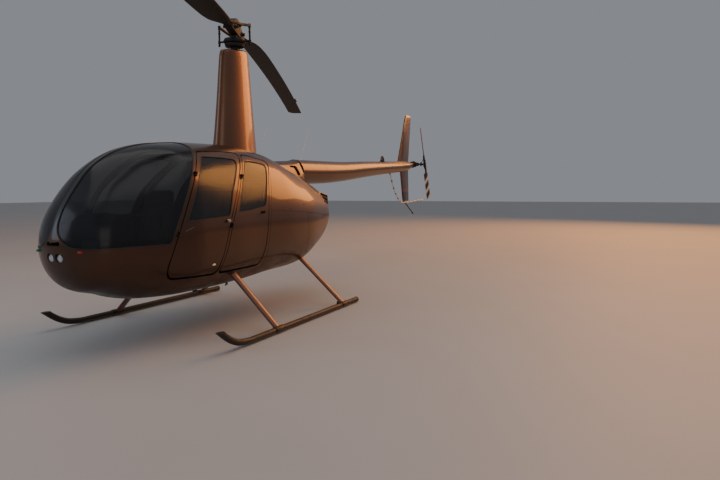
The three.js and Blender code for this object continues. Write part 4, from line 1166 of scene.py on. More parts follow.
class HELICOPTER_OT_shell(bpy.types.Operator):
    """Fuselage shell: the whole skin, hollowed to its lining, with door, screen, lamp and vent openings"""
    bl_idname = "helicopter.shell"
    bl_label = "Fuselage shell"

    def execute(self, context):
        # The third material paints shade near-black on the engine bay's walls and inside the fan, belly, lamp,
        # vent and louvre openings.
        materials = "shell_paint cabin_trim soot rubber"
        foot, head = mm(BULKHEAD)
        ahead = np.array([foot, head, [2.5, 1.9], [2.5, 0.38]])
        behind = np.array([foot - [WALL, 0], head - [WALL, 0], [-1.7, 1.9], [-1.7, 0.38]])
        cabin = carved("cabin", whole_skin(WALL, finish=1), materials,
                (KEEP, side_prism(ahead, -0.8, 0.8, 1)))
        bay = carved("bay", whole_skin(WALL, finish=2), materials, (KEEP, side_prism(behind, -0.8, 0.8, 2)))
        post_line = np.vstack([b_line(POST_AHEAD - DOOR_GAP / 2), b_line(DOOR_GAP / 2 - POST_BEHIND)[::-1]])
        post = carved("post", wall(1.3, 0.3, (-70, 80), WALL - 0.005, POST_DEPTH, 60, 60, (1, 1, 1)),
                materials, (KEEP, side_prism(post_line, finish=1)))
        posts = [post, starboard_tool(post, materials)]
        block = prism(rounded(mm(LOUVRE_BLOCK), 0.02), 0.22, 0.418, "y", 0, 0.014)
        steps = [(JOIN, block), (JOIN, mirrored(block)), (CUT, cabin), (CUT, bay),
                *((JOIN, p) for p in posts)]
        for name in ("front", "rear"):
            doorway = side_prism(doorway_outline(name), finish=0)
            steps += [(CUT, doorway), (CUT, mirrored(doorway))]
        screen = carved("screen", side_prism(screen_outlines(0)[0], 0.0, 0.8, 0), materials,
                (KEEP, flat_prism(screen_outlines(0)[1], 1.0, 2.6, "x", 0)))
        steps += [(CUT, screen), (CUT, starboard_tool(screen, materials))]
        steps += [(CUT, rod((-1.8, 0, 1.075), (-1.3, 0, 1.075), 0.18, sides=64, finish=2)),
                (CUT, board((-0.9, -0.22), (-0.2, 0.2), (0.38, 0.56), 0.03, 2))]
        steps += [(CUT, rod((2.345, y, 0.845), (2.5, y, 0.845), 0.0383, sides=40, finish=2))
                for y in (-0.048, 0.048)]
        slot = prism(box_outline((-0.072, 0.072), (0.944, 0.976), 0.012), 2.36, 2.5, "x", 2)
        steps.append((CUT, slot))
        steps += [(CUT, tool) for tool in cowl_grooves(materials)]
        steps += [(CUT, tool) for tool in louvre_pockets()]
        piece = carved("fuselage_skin", whole_skin(0), materials, *steps)
        fit(piece, "paint", "fuselage_shell", degrees=28)
        skin_fittings()
        return {"FINISHED"}


def hinge_forms(name):
    """A door's hinges: barrels on the door between lugs on the frame, with webs down to the skin."""
    upper, lower = (np.array([x, skin_y(x, z) + HINGE_PROUD, z]) for x, z in mm(HINGES[name]))
    down = unit(lower - upper)
    aft = unit(np.array([-1.0, 0, 0]) + down * down[0])
    inward = np.cross(down, aft)
    inward = -inward if inward[1] > 0 else inward

    def knuckle(centre, start, end, way):
        barrel = rod(centre + down * start, centre + down * end, 0.0065, edge=0.0012)
        path = np.array([centre + down * start, centre + down * end]) + aft * way * 0.008 + inward * 0.012
        web = sweep(path, box_outline((-0.008, 0.008), (-0.012, 0.012), 0.003), aft)
        return [barrel, web]

    lugs, barrels = [], []
    for centre in (upper, lower):
        barrels += knuckle(centre, -0.012, 0.012, 1)
        lugs += knuckle(centre, -0.022, -0.0123, -1) + knuckle(centre, 0.0123, 0.022, -1)
        lugs.append(hexagon(centre - down * 0.0215, centre - down * 0.025, 0.005))
    return {"lugs": lugs, "barrels": barrels}


class HELICOPTER_OT_windscreens(bpy.types.Operator):
    """Two curved windscreen halves with their rubber edging"""
    bl_idname = "helicopter.windscreens"
    bl_label = "Windscreens"

    def execute(self, context):
        side, front = screen_outlines(HAIR)
        pane = carved("windscreen_pane_left", wall(*SCREEN_PATCH, PANE_OUTER, PANE_INNER, 130, 110,
                (0, 0, 0)), "glass", (KEEP, side_prism(side, 0.0, 0.8)),
                (KEEP, flat_prism(front, 1.0, 2.6, "x")))
        fit(pane, "glass", "windscreen_left")
        other_side(pane, "windscreen_pane_right", "glass", "windscreen_right")
        inner_side, inner_front = screen_outlines(0.010)
        hole = carved("hole", side_prism(inner_side, 0.0, 0.8), "rubber",
                (KEEP, flat_prism(inner_front, 1.0, 2.6, "x")))
        edging = carved("windscreen_edging_left", wall(*SCREEN_PATCH, -0.002, 0.013, 130, 110, (0, 0, 0)),
                "rubber", (KEEP, side_prism(side, 0.0, 0.8)), (KEEP, flat_prism(front, 1.0, 2.6, "x")),
                (CUT, hole))
        fit(edging, "trim")
        other_side(edging, "windscreen_edging_right", "trim")
        return {"FINISHED"}


def cabin_door(name):
    materials = "body_paint cabin_trim body_paint"
    window = window_outline(name)
    panel = carved(f"{name}_door_panel_left", wall(*DOOR_PATCH[name], 0, WALL), materials,
            (KEEP, side_prism(door_panel_outline(name), finish=2)), (CUT, side_prism(window, finish=2)))
    pane = carved(f"{name}_door_pane_left", wall(*DOOR_PATCH[name], PANE_OUTER, PANE_INNER,
            finishes=(0, 0, 0)), "glass", (KEEP, side_prism(inset(window, HAIR))))
    seal = carved(f"{name}_door_seal_left", wall(*DOOR_PATCH[name], -0.0015, 0.012, finishes=(0, 0, 0)),
            "rubber", (KEEP, side_prism(inset(window, 0.0002))), (CUT, side_prism(inset(window, 0.008))))
    fittings = door_fittings(name)
    for side in ("left", "right"):
        body = f"{name}_door_{side}"
        if side == "left":
            fit(panel, "paint", body, body=body)
            fit(pane, "glass", f"{name}_door_window_left", body=body)
            fit(seal, "trim", body=body)
        else:
            other_side(panel, f"{name}_door_panel_right", "paint", body, body=body)
            other_side(pane, f"{name}_door_pane_right", "glass", f"{name}_door_window_right", body=body)
            other_side(seal, f"{name}_door_seal_right", "trim", body=body)
        for part, (forms, finish_name, slot) in fittings.items():
            forms = forms if side == "left" else [mirrored(form) for form in forms]
            make(f"{name}_door_{part}_{side}", forms, finish_name, slot, body=body)


def door_fittings(name):
    """The door's small parts by name: forms on the port side, their material and their slot."""
    x, z = mm(HANDLES[name])
    y = skin_y(x, z)
    normal = skin_normal(np.array([x]), np.array([z]))[0]
    foot = np.array([x, y, z])
    knob = turned([[-0.006, 0.014], [0.002, 0.014], [0.004, 0.009], [0.012, 0.0085], [0.014, 0.015],
            [0.017, 0.0172], [0.022, 0.0172], [0.0255, 0.0145], [0.026, 0.003]], foot, foot + normal, 40)
    inner = foot - normal * (WALL + 0.001)
    lever_path = spline([inner, inner - normal * 0.018, inner - normal * 0.026 + [0.03, 0, -0.004], inner
            - normal * 0.026 + [0.10, 0, -0.012]], 16)
    lever = [turned([[0, 0.02], [0.004, 0.02], [0.006, 0.016]], inner, inner - normal, 28),
            tube(lever_path, 0.006, 14, (0, 0, 1))]
    rest_z = 0.93
    rest_x = np.linspace(x + 0.06, x + 0.42, 24) if name == "front" else np.linspace(x + 0.08, x + 0.34,
            20)
    rest_y = skin_y(rest_x, rest_z) - WALL - 0.024
    rest = sweep(np.column_stack([rest_x, rest_y, np.full(len(rest_x), rest_z)]),
            rounded([[-0.028, -0.022], [0.028, -0.022], [0.024, 0.022], [-0.020, 0.022]], 0.018),
            (0, 1, 0))
    parts = {
        # The hinge barrels take the dark hub metal as painted shade, for the shade that the hinges sit in.
        "hinges": (hinge_forms(name)["barrels"], "hub_metal", "cast_metal"),
        # The front door's handle is bright steel and the rear door's dark hub metal: alike handles, one with
        # painted light and one with painted shade.
        "handle": ([knob], "steel" if name == "front" else "hub_metal", "steel"),
        "inner_handle": (lever, "black_trim", "black_trim"),
        "armrest": ([rest], "leather", "leather"),
    }
    if name == "front":
        centre = np.array([1.225, skin_y(1.225, 0.688), 0.688])
        way = skin_normal(np.array([1.225]), np.array([0.688]))[0]
        t = np.linspace(0, 1, 7)[:, None]
        plate = loft(np.stack([centre + way * (-0.003 + 0.006 * np.sin(u * np.pi / 2))
                + np.column_stack([c[:, 0], 0 * c[:, 0], c[:, 1]]) for u,
                c in ((u[0], circle(0.027 * (1 - 0.25 * u[0] ** 3), 40, 0.32)) for u in t)]))
        parts["drain_plate"] = ([plate], "reflector", "steel")
        # A thin raised bar in the legs' lighter copper paint on the skin below the window, sloping up towards the
        # rear.
        bar_x, bar_z = np.linspace(1.500, 1.591, 8), np.linspace(1.052, 1.020, 8)
        bar = np.column_stack([bar_x, skin_y(bar_x, bar_z) + 0.001, bar_z])
        parts["step_bar"] = ([sweep(bar, box_outline((-0.004, 0.004), (-0.004, 0.004), 0.002),
                [0, 0, 1])], "copper_paint", "copper_paint")
    return parts


class HELICOPTER_OT_doors(bpy.types.Operator):
    """Four cabin doors: shell, window, seal, hinges, outer handle and inner trim"""
    bl_idname = "helicopter.doors"
    bl_label = "Doors"

    def execute(self, context):
        for name in ("front", "rear"):
            cabin_door(name)
        return {"FINISHED"}


def moved(forms, matrix):
    """Forms carried by a 3 x 4 matrix."""
    matrix = np.asarray(matrix, float)
    return [(points @ matrix[:, :3].T + matrix[:, 3], faces, finishes) for points, faces, finishes in forms]


def made_real(piece):
    """Applies the piece's modifiers to its mesh."""
    name, materials = piece.data.name, list(piece.data.materials)
    mesh = bpy.data.meshes.new_from_object(evaluated(piece))
    piece.modifiers.clear()
    piece.data = mesh
    mesh.name = name
    if not len(mesh.materials):
        for made in materials:
            mesh.materials.append(made)
    return piece


def inflate(piece, swell, pressure=4.0):
    """Swells the piece as stuffed cloth: Cloth with inner pressure and no gravity for 20 frames, and then no point
    further than `swell` from where it began, nor below the level that it stands on."""
    mesh, scene = piece.data, bpy.context.scene
    before = coordinates(mesh)
    cloth = piece.modifiers.new("cloth", "CLOTH")
    cloth.settings.use_pressure, cloth.settings.uniform_pressure_force = True, pressure
    cloth.settings.effector_weights.gravity = 0
    for number in range(1, 21):
        scene.frame_set(number)
    move = coordinates(evaluated(piece).data) - before
    move *= np.minimum(1, swell / np.maximum(np.linalg.norm(move, axis=1, keepdims=True), 1e-9))
    piece.modifiers.remove(cloth)
    after = before + move
    after[:, 2] = np.maximum(after[:, 2], before[:, 2].min())
    mesh.vertices.foreach_set("co", after.ravel())
    mesh.update()
    scene.frame_set(1)


def cushion(name, size, taper, seams, matrix, voxel, node):
    """A stuffed cushion made lying flat, size = (length, width, thickness), its back on z = 0, then carried into
    place by a matrix. Seams are lines across it, as pairs of the axis they run square to and the place on it."""
    length, width, thickness = size
    swell = size_settings().seat_swell
    low, high = swell * 0.8, thickness - swell * 0.7
    form = prism(box_outline((low, length - low), (low - width / 2, width / 2 - low), 0.05, 8), 0.0, high,
            "z", edge=min(0.030, high * 0.42))
    form[0][:, 1] *= 1 - taper * form[0][:, 0] / length
    piece = object_of(name, [form], "leather")
    remesh = piece.modifiers.new("remesh", "REMESH")
    remesh.mode, remesh.voxel_size = "VOXEL", voxel
    made_real(piece)
    if swell:
        inflate(piece, swell)
    smooth = piece.modifiers.new("smooth", "SUBSURF")
    smooth.levels = smooth.render_levels = 1
    made_real(piece)
    points = coordinates(piece.data).astype(float)
    points -= [MAST_X, 0, 0]
    up = np.clip(points[:, 2] / thickness, 0, 1) ** 2
    for axis, at in seams:
        groove = np.exp(-((points[:, axis] - at) / 0.007) ** 2) + 0.5 * np.exp(-((points[:, axis]
                - at) / 0.030) ** 2)
        points[:, 2] -= 0.007 * groove * up
    matrix = np.asarray(matrix, float)
    placed = points @ matrix[:, :3].T + matrix[:, 3] + [MAST_X, 0, 0]
    piece.data.vertices.foreach_set("co", placed.astype(np.float32).ravel())
    if np.linalg.det(matrix[:, :3]) < 0:
        piece.data.flip_normals()
    piece.data.update()
    fit(piece, "leather", node, degrees=70)
    return piece


def leaning(foot, head, thickness):
    """The matrix of a board that leans from a foot to a head in side view, and its length."""
    along = unit(np.array([head[0] - foot[0], 0, head[1] - foot[1]]))
    out = np.array([along[2], 0, -along[0]])
    origin = np.array([foot[0], 0, foot[1]])
    return np.column_stack([along, np.cross(out, along), out, origin]), np.hypot(head[0] - foot[0], head[1]
            - foot[1])


SEAT_TOP, CUSHION = 0.7153, 0.0745
REAR_SEAT_TOP = 0.7353


def bulkhead_x(z):
    (foot_x, foot_z), (head_x, head_z) = mm(BULKHEAD)
    return foot_x + (head_x - foot_x) * (z - foot_z) / (head_z - foot_z)


class HELICOPTER_OT_seats(bpy.types.Operator):
    """Two front seats and the rear bench as stuffed leather cushions"""
    bl_idname = "helicopter.seats"
    bl_label = "Seats"

    def execute(self, context):
        flat = [[1, 0, 0, 1.008], [0, 1, 0, 0.295], [0, 0, 1, SEAT_TOP]]
        bottom = cushion("front_seat_bottom_left", (0.440, 0.426, CUSHION), 0.0,
                ((0, 0.345), (1, -0.120), (1, 0.120)), flat, 0.006, "front_seat_cushion_left")
        matrix, length = leaning((1.004, 0.793), (0.868, 1.390), 0.09)
        matrix[:, 3] += [0, 0.295, 0]
        back = cushion("front_seat_rest_left", (length - 0.002, 0.426, 0.088), 0.12,
                ((0, 0.43), (1, -0.110), (1, 0.110)), matrix, 0.006, "front_seat_back_left")
        for piece, name, node in ((bottom, "front_seat_bottom_right", "front_seat_cushion_right"),
                (back, "front_seat_rest_right", "front_seat_back_right")):
            other_side(piece, name, "leather", node)
        flat = [[1, 0, 0, 0.286], [0, 1, 0, 0], [0, 0, 1, REAR_SEAT_TOP]]
        cushion("rear_seat_bottom", (0.430, 1.076, CUSHION), 0.0,
                ((1, 0.0), (1, -0.30), (1, 0.30), (0, 0.36)), flat, 0.008, "rear_seat_cushion")
        foot = REAR_SEAT_TOP + CUSHION + 0.004
        matrix, length = leaning((bulkhead_x(foot) + 0.002, foot), (bulkhead_x(1.468) + 0.002, 1.468), 0.09)
        cushion("rear_seat_rest", (length, 1.060, 0.092), 0.09, ((1, 0.0), (1, -0.28), (1, 0.28), (0, 0.46)),
                matrix, 0.008, "rear_seat_back")
        return {"FINISHED"}


def floor_and_boxes():
    foot, head = mm(BULKHEAD)
    ahead = side_prism(np.array([foot + [0.0005, 0], head + [0.0005, 0], [2.5, 1.9], [2.5, 0.38]]), -0.8,
            0.8)
    pan = carved("cabin_floor_pan", whole_skin(WALL + 0.0008), "carpet", (KEEP, ahead),
            (KEEP, flat_prism(box_outline((-0.1, 2.25), (0.38, 0.5)), -0.7, 0.7)))
    fit(pan, "trim", "cabin_floor")
    boxes = [("front_seat_box_left", (1.0, 1.42), (0.07, 0.49), 0.715),
            ("rear_seat_box", (0.2, 0.70), (-0.54, 0.54), 0.735)]
    for name, x, y, top in boxes:
        box = carved(name, whole_skin(WALL + 0.008), "cabin_trim", (KEEP, ahead),
                (KEEP, board(x, y, (0.5002, top), 0.010)))
        fit(box, "trim")
        if name.endswith("left"):
            other_side(box, "front_seat_box_right", "trim")


def console():
    stand = rounded(mm([[1800, 500.5], [2110, 500.5], [2120, 780], [2050, 1000], [1900, 1000],
            [1845, 780]]), 0.02)
    head = rounded(mm([[1900, 960], [2080, 960], [2060, 1110], [1985, 1172], [1868, 1180], [1862, 1160]]),
            0.014)
    column = carved("console_stand", prism(stand, -0.11, 0.11, "y", 0, 0.012), "black_trim",
            (KEEP, whole_skin(WALL + 0.001)))
    fit(column, "black_trim")
    casing = carved("console_head", prism(head, -0.235, 0.235, "y", 0, 0.014), "black_trim",
            (KEEP, whole_skin(WALL + 0.001)))
    fit(casing, "black_trim", "instrument_console")
    # The panel leans from its foot to its hood; its own axes are across, up and out towards the seats.
    foot, top = np.array([1.900, 0, 0.968]), np.array([1.864, 0, 1.158])
    up = unit(top - foot)
    out = np.cross([0, 1, 0], up)
    out = -out if out[0] > 0 else out
    rings, faces, marks = [], [], []
    dials = [(y, v, 0.036) for v in (0.050, 0.138) for y in (-0.165, -0.083, 0.0, 0.083, 0.165)]
    for y, v, radius in dials:
        centre = foot + up * v + [0, y, 0]
        rings.append(lathe([[-0.002, radius - 0.004], [0.007, radius - 0.005], [0.0085, radius - 0.003],
                [0.0085, radius], [0.006, radius + 0.002], [-0.002, radius + 0.002]], centre, centre
                + out, 40))
        faces.append(turned([[-0.002, radius - 0.002], [0.0035, radius - 0.003], [0.0035, 0.001]], centre,
                centre + out, 32))
        for k in range(12):
            a = np.radians(30 * k)
            way = np.cos(a) * up + np.sin(a) * np.array([0, 1, 0])
            long = 0.006 if k % 3 else 0.009
            middle = centre + out * 0.0042 + way * (radius - 0.008 - long / 2)
            marks.append(sweep([middle - way * long / 2, middle + way * long / 2],
                    box_outline((-0.0008, 0.0008), (-0.0005, 0.0005)), np.cross(way, out)))
        a = np.radians(140 * y * 20 + v * 900)
        way = np.cos(a) * up + np.sin(a) * np.array([0, 1, 0])
        marks.append(sweep([centre + out * 0.0052 - way * 0.006, centre + out * 0.0052 + way
                * (radius - 0.012)], box_outline((-0.0014, 0.0014), (-0.0005, 0.0005)),
                np.cross(way, out)))
    lower, upper = np.array([1.812, 0, 0.56]), np.array([1.8455, 0, 0.775])
    for start, end, count in ((lower, upper, 3), (upper, np.array([1.899, 0, 0.955]), 3)):
        rise = unit(end - start)
        face = np.cross([0, 1, 0], rise)
        face = -face if face[0] > 0 else face
        reach = np.linalg.norm(end - start)
        for k in range(count):
            centre = start + rise * reach * (k + 0.5) / count + face * 0.001
            rings.append(sweep([centre - rise * reach * 0.42 / count, centre + rise * reach
                    * 0.42 / count], box_outline((-0.085, 0.085), (-0.005, 0.005), 0.003), [0, 1, 0]))
            faces.append(sweep([centre + face * 0.0045 - rise * 0.012, centre + face * 0.0045 + rise
                    * 0.012], box_outline((-0.045, 0.045), (-0.0012, 0.0012)), [0, 1, 0]))
            rings += [rod(centre + [0, y, 0], centre + face * 0.022 + [0, y, 0], 0.010, 0.008, 0.002)
                    for y in (-0.066, 0.066)]
    make("console_bezels", rings, "black_trim", "black_trim")
    make("console_dials", faces, "dial_face", "black_trim")
    make("console_marks", marks, "pale_marks", "white_paint")


def sticks():
    bellows = [[0, 0.042]]
    for k in range(5):
        radius = 0.041 - 0.0042 * k
        bellows += [[0.004 + 0.0055 * k, radius], [0.0066 + 0.0055 * k, radius - 0.006]]
    bellows += [[0.032, 0.018], [0.034, 0.015]]
    boot = turned(bellows, (1.5, 0, 0.5005), (1.5, 0, 0.6), 36)
    column = tube(spline([[1.5, 0, 0.51], [1.54, 0, 0.70], [1.59, 0, 0.95], [1.60, 0, 1.12]], 40), 0.015)
    bar = rod((1.6, -0.33, 1.15), (1.6, 0.33, 1.15), 0.0125, edge=0.004)
    block = board((1.578, 1.622), (-0.030, 0.030), (1.118, 1.172), 0.010)
    pins = [rod((1.6, y * 0.045, 1.15), (1.6, y * 0.036, 1.15), 0.019, edge=0.003) for y in (-1, 1)]
    grips, buttons = [], []
    for y in (-0.33, 0.33):
        way = unit(np.array([0.02, 0, 0.13]))
        foot = np.array([1.580, y, 1.040])
        profile = [[0, 0.010], [0.002, 0.0155], [0.008, 0.0175], [0.02, 0.0165], [0.032, 0.0172],
                [0.045, 0.0160], [0.058, 0.0170], [0.072, 0.0158], [0.088, 0.0168], [0.104, 0.0172],
                [0.118, 0.0185], [0.128, 0.0170], [0.133, 0.010]]
        grips.append(turned(profile, foot, foot + way, 32))
        buttons.append(rod(foot + way * 0.130, foot + way * 0.139, 0.006, edge=0.002))
        buttons.append(rod(foot + way * 0.112 + [0.012, 0, 0], foot + way * 0.112 + [0.024, 0, 0], 0.006))
    make("cyclic_column", [boot, bar, block, *pins, column], "black_trim", "black_trim", "cyclic_stick")
    make("cyclic_grips", grips, "rubber", "black_trim")
    make("cyclic_buttons", buttons, "red_lens", "red_lens")
    for name, y, base in (("left", 0.545, 0.4903), ("centre", -0.035, -0.0697)):
        foot, head = np.array([1.180, y, 0.640]), np.array([1.490, y, 0.790])
        way = unit(head - foot)
        grip = [[0, 0.010], [0.002, 0.0165], [0.012, 0.0175]]
        for k in range(9):
            grip += [[0.016 + 0.011 * k, 0.0175], [0.0195 + 0.011 * k, 0.0160],
                    [0.0235 + 0.011 * k, 0.0160]]
        grip += [[0.118, 0.0175], [0.126, 0.0170], [0.129, 0.012]]
        forms = [rod(foot, head, 0.011, edge=0.003), rod((1.2, base, 0.648), (1.2, y, 0.648), 0.016,
                edge=0.002)]
        make(f"collective_lever_{name}", forms, "steel", "black_trim",
             f"collective_{name}")
        make(f"collective_grip_{name}", [turned(grip, head - way * 0.128, head, 32)], "rubber",
             "black_trim")


def pedals():
    forms, pads = [rod((1.93, 0.1105, 0.61), (1.93, 0.325, 0.61), 0.010)], []
    for y in (0.175, 0.295):
        forms.append(rod((1.93, y, 0.61), (1.966, y, 0.692), 0.009))
        foot, head = np.array([1.950, y, 0.640]), np.array([1.985, y, 0.745])
        forms.append(sweep([foot, head], box_outline((-0.036, 0.036), (-0.005, 0.005), 0.003), [0, 1, 0]))
        way = unit(head - foot)
        back = np.array([-way[2], 0, way[0]])
        for k in range(7):
            middle = foot + way * (0.014 + 0.0137 * k) + back * 0.0055
            pads.append(sweep([middle - way * 0.004, middle + way * 0.004],
                    box_outline((-0.031, 0.031), (-0.003, 0.003), 0.0015), [0, 1, 0]))
    for side, change in (("left", lambda form: form), ("right", mirrored)):
        make(f"pedal_arms_{side}", [change(form) for form in forms], "cast_metal", "cast_metal",
                f"pedals_{side}")
        make(f"pedal_pads_{side}", [change(form) for form in pads], "rubber", "black_trim")


class HELICOPTER_OT_controls(bpy.types.Operator):
    """Cabin floor with seat boxes, instrument console, cyclic, collectives and pedals"""
    bl_idname = "helicopter.controls"
    bl_label = "Cabin and controls"

    def execute(self, context):
        floor_and_boxes()
        console()
        sticks()
        pedals()
        return {"FINISHED"}


class HELICOPTER_OT_engine_bay(bpy.types.Operator):
    """Engine block on its bearers, exhaust pipe and the cooling fan in its mouth"""
    bl_idname = "helicopter.engine_bay"
    bl_label = "Engine bay"

    def execute(self, context):
        block = [board((-0.95, -0.15), (-0.38, 0.38), (0.70, 1.08), 0.02),
                board((-0.90, -0.20), (-0.30, 0.30), (0.68, 0.72), 0.008)]
        fins = [board((x - 0.003, x + 0.003), (-0.384, 0.384), (0.74, 1.05), 0.0012)
                for x in np.linspace(-0.90, -0.20, 29)]
        bearers = [board((-0.2, 0.215), (y - 0.025, y + 0.025), (0.78, 0.84), 0.006) for y in (-0.3, 0.3)]
        make("engine_casing", [*block, *fins, *bearers], "cast_metal", "cast_metal",
             "engine_block")
        path = spline([[-0.5, 0.15, 0.676], [-0.5, 0.15, 0.60], [-0.56, 0.15, 0.505], [-0.68, 0.15, 0.478]],
                40)
        outlet = path[-1] + unit(path[-1] - path[-2]) * 0.02
        pipe = carved("exhaust_stack", tube(path, 0.032, 40), "soot",
                (CUT, rod(path[-8], outlet, 0.028, sides=36)))
        collar = lathe([[0, 0.0318], [0, 0.044], [0.006, 0.044], [0.006, 0.0318]], (-0.5, 0.15, 0.660),
                (-0.5, 0.15, 1.660), 32)
        fit(pipe, "cast_metal", "exhaust_pipe")
        make("exhaust_collar", [collar], "soot", "cast_metal")
        hub = turned([[0, 0.148], [0.004, 0.149], [0.010, 0.10], [0.05, 0.055], [0.10, 0.042], [0.17, 0.034],
                [0.196, 0.028], [0.20, 0.010]], (-1.25, 0, 1.045), (-1.44, 0, 1.045), 48)
        rim = lathe([[0, 0.132], [0, 0.149], [0.008, 0.149], [0.008, 0.136]], (-1.424, 0, 1.045),
                (-2.424, 0, 1.045), 64)
        vanes = []
        for k in range(26):
            a = 2 * np.pi * k / 26
            r = np.linspace(0.085, 0.147, 8)
            sweep_back = a + 1.1 * (r - 0.085) / 0.062 * 0.5
            line = np.column_stack([np.full(8, -1.342), r * np.cos(sweep_back), 1.045 + r
                    * np.sin(sweep_back)])
            vanes.append(sweep(line, box_outline((-0.088, 0.088), (-0.0015, 0.0015), 0.001), [1, 0, 0]))
        make("fan_wheel", [hub, rim, *vanes, rod((-0.951, 0, 1.045), (-1.255, 0, 1.045), 0.03)],
             "cast_metal", "cast_metal", "cooling_fan")
        return {"FINISHED"}


def fairing(margin, rows=80, sides=96):
    """Mast fairing: ellipses (x, y, z) = (middle + reach cos a, half sin a, level - dip (1 + cos a) / 2)."""
    front, rear, half, dip = (smooth_curve(FAIRING[:, 0], FAIRING[:, k]) for k in range(1, 5))
    shoulder, top = FAIRING[-3, 0], FAIRING[-1, 0]
    z = np.unique(np.concatenate([np.linspace(FAIRING[0, 0], shoulder, rows),
            np.linspace(shoulder, top, 12)]))
    z, a = z[:, None], np.linspace(0, 2 * np.pi, sides, endpoint=False)
    middle, reach = (front(z) + rear(z)) / 2, (front(z) - rear(z)) / 2 + margin
    return loft(np.stack([middle + reach * np.cos(a), (half(z) + margin) * np.sin(a), z - dip(z)
            * (1 + np.cos(a)) / 2], -1))


def spine_form(margin, rows=80, sides=60):
    """Raised spine: (y, z - base) = (half cos a, reach sin(a)^0.8) over the roof, closed flat underneath."""
    top, half = (smooth_curve(SPINE[:, 0], SPINE[:, k]) for k in (1, 2))
    x, a = np.linspace(SPINE[0, 0], SPINE[-1, 0], rows)[:, None], np.linspace(0, np.pi, sides)
    rings = np.stack([np.broadcast_to(x, (rows, sides)), (half(x) + margin) * np.cos(a), SPINE_BASE
            + (top(x) + margin - SPINE_BASE) * np.abs(np.sin(a)) ** 0.8], -1)
    rings[0, :, 0] += margin
    return loft(rings)


def boom_form(margin, front=0.0, rows=120, sides=64):
    """Tail boom: circles at smooth centres and radii, grown by a margin, its front end moved ahead."""
    centre, radius = (smooth_curve(BOOM[:, 0], BOOM[:, k]) for k in (1, 2))
    x = np.linspace(BOOM[0, 0], BOOM[-1, 0], rows)[:, None]
    a = np.linspace(0, 2 * np.pi, sides, endpoint=False)
    r = radius(x) + margin
    rings = np.stack([np.broadcast_to(x, (rows, sides)), r * np.cos(a), centre(x) + r * np.sin(a)], -1)
    rings[0, :, 0] += front
    return loft(rings)


class HELICOPTER_OT_mast(bpy.types.Operator):
    """Mast fairing, raised spine and the bare mast tube under the rotor"""
    bl_idname = "helicopter.mast"
    bl_label = "Mast and spine"

    def execute(self, context):
        # The second material paints shade near-black inside the spine's slots, as the tower's does inside the
        # mast's bore.
        paint = "body_paint soot"
        grown = whole_skin(-HAIR)
        bore = rod((0, 0, 2.6997), (0, 0, 3.1), 0.0427, sides=64, finish=1)
        tower = carved("mast_tower", fairing(0), "fairing_paint soot", (CUT, grown), (CUT, spine_form(HAIR)),
                (CUT, bore))
        fit(tower, "paint", "mast_fairing", degrees=40)
        slot = flat_prism(rounded(mm(SPINE_SLOT), 0.012), 0.05, 0.25, "y", 1)
        hollow = carved("spine_slot", slot, paint, (CUT, spine_form(-0.02)))
        ridge = carved("spine_ridge", spine_form(0), paint, (CUT, grown), (CUT, hollow),
                (CUT, starboard_tool(hollow, paint)), (CUT, boom_form(HAIR, HAIR)))
        fit(ridge, "paint", "spine_fairing", degrees=40)
        tube_wall = lathe([[0, 0.0286], [0, 0.0418], [0.266, 0.0418], [0.271, 0.102], [0.274, 0.104],
                [0.298, 0.1105], [0.302, 0.1115], [0.304, 0.110], [0.304, 0.0286]], (0, 0, 2.70),
                (0, 0, 3.70), 64)
        nuts = bolt_ring(0.088, 2.9635, 2.975, 0.007)
        make("mast_pipe", [tube_wall, *nuts], "hub_metal", "steel", "mast_tube")
        return {"FINISHED"}


def aerofoil_ring(lead, trail, thickness, count=22):
    """Chordwise places and heights round a symmetrical aerofoil: half thickness
    5 (0.2969 t^0.5 - 0.126 t - 0.3516 t^2 + 0.2843 t^3 - 0.1036 t^4) at part t of the chord."""
    t = (1 - np.cos(np.linspace(0, np.pi, count))) / 2
    half = 5 * (0.2969 * np.sqrt(t) - 0.126 * t - 0.3516 * t**2 + 0.2843 * t**3 - 0.1036 * t**4)
    height = thickness * np.maximum(half, 0.02 * (t > 0))
    along = lead + (trail - lead) * t
    return np.vstack([np.column_stack([along, height]), np.column_stack([along, -height])[:0:-1]])


def fin_form(table, half, rows=40):
    """A fin: aerofoil sections at smooth heights, its tip rounded over the last 15 mm."""
    z = np.linspace(table[0, 0], table[-1, 0], rows)
    front, rear = (smooth_curve(table[:, 0], table[:, k])(z) for k in (1, 2))
    rings = []
    for height, lead, trail in zip(z, front, rear):
        near = min(abs(height - table[0, 0]), abs(table[-1, 0] - height))
        thick = half * 2 * (0.35 + 0.65 * min(1, near / 0.015) ** 0.5)
        section = aerofoil_ring(lead, trail, thick)
        rings.append(np.column_stack([section[:, 0], section[:, 1], np.full(len(section), height)]))
    return loft(np.stack(rings))


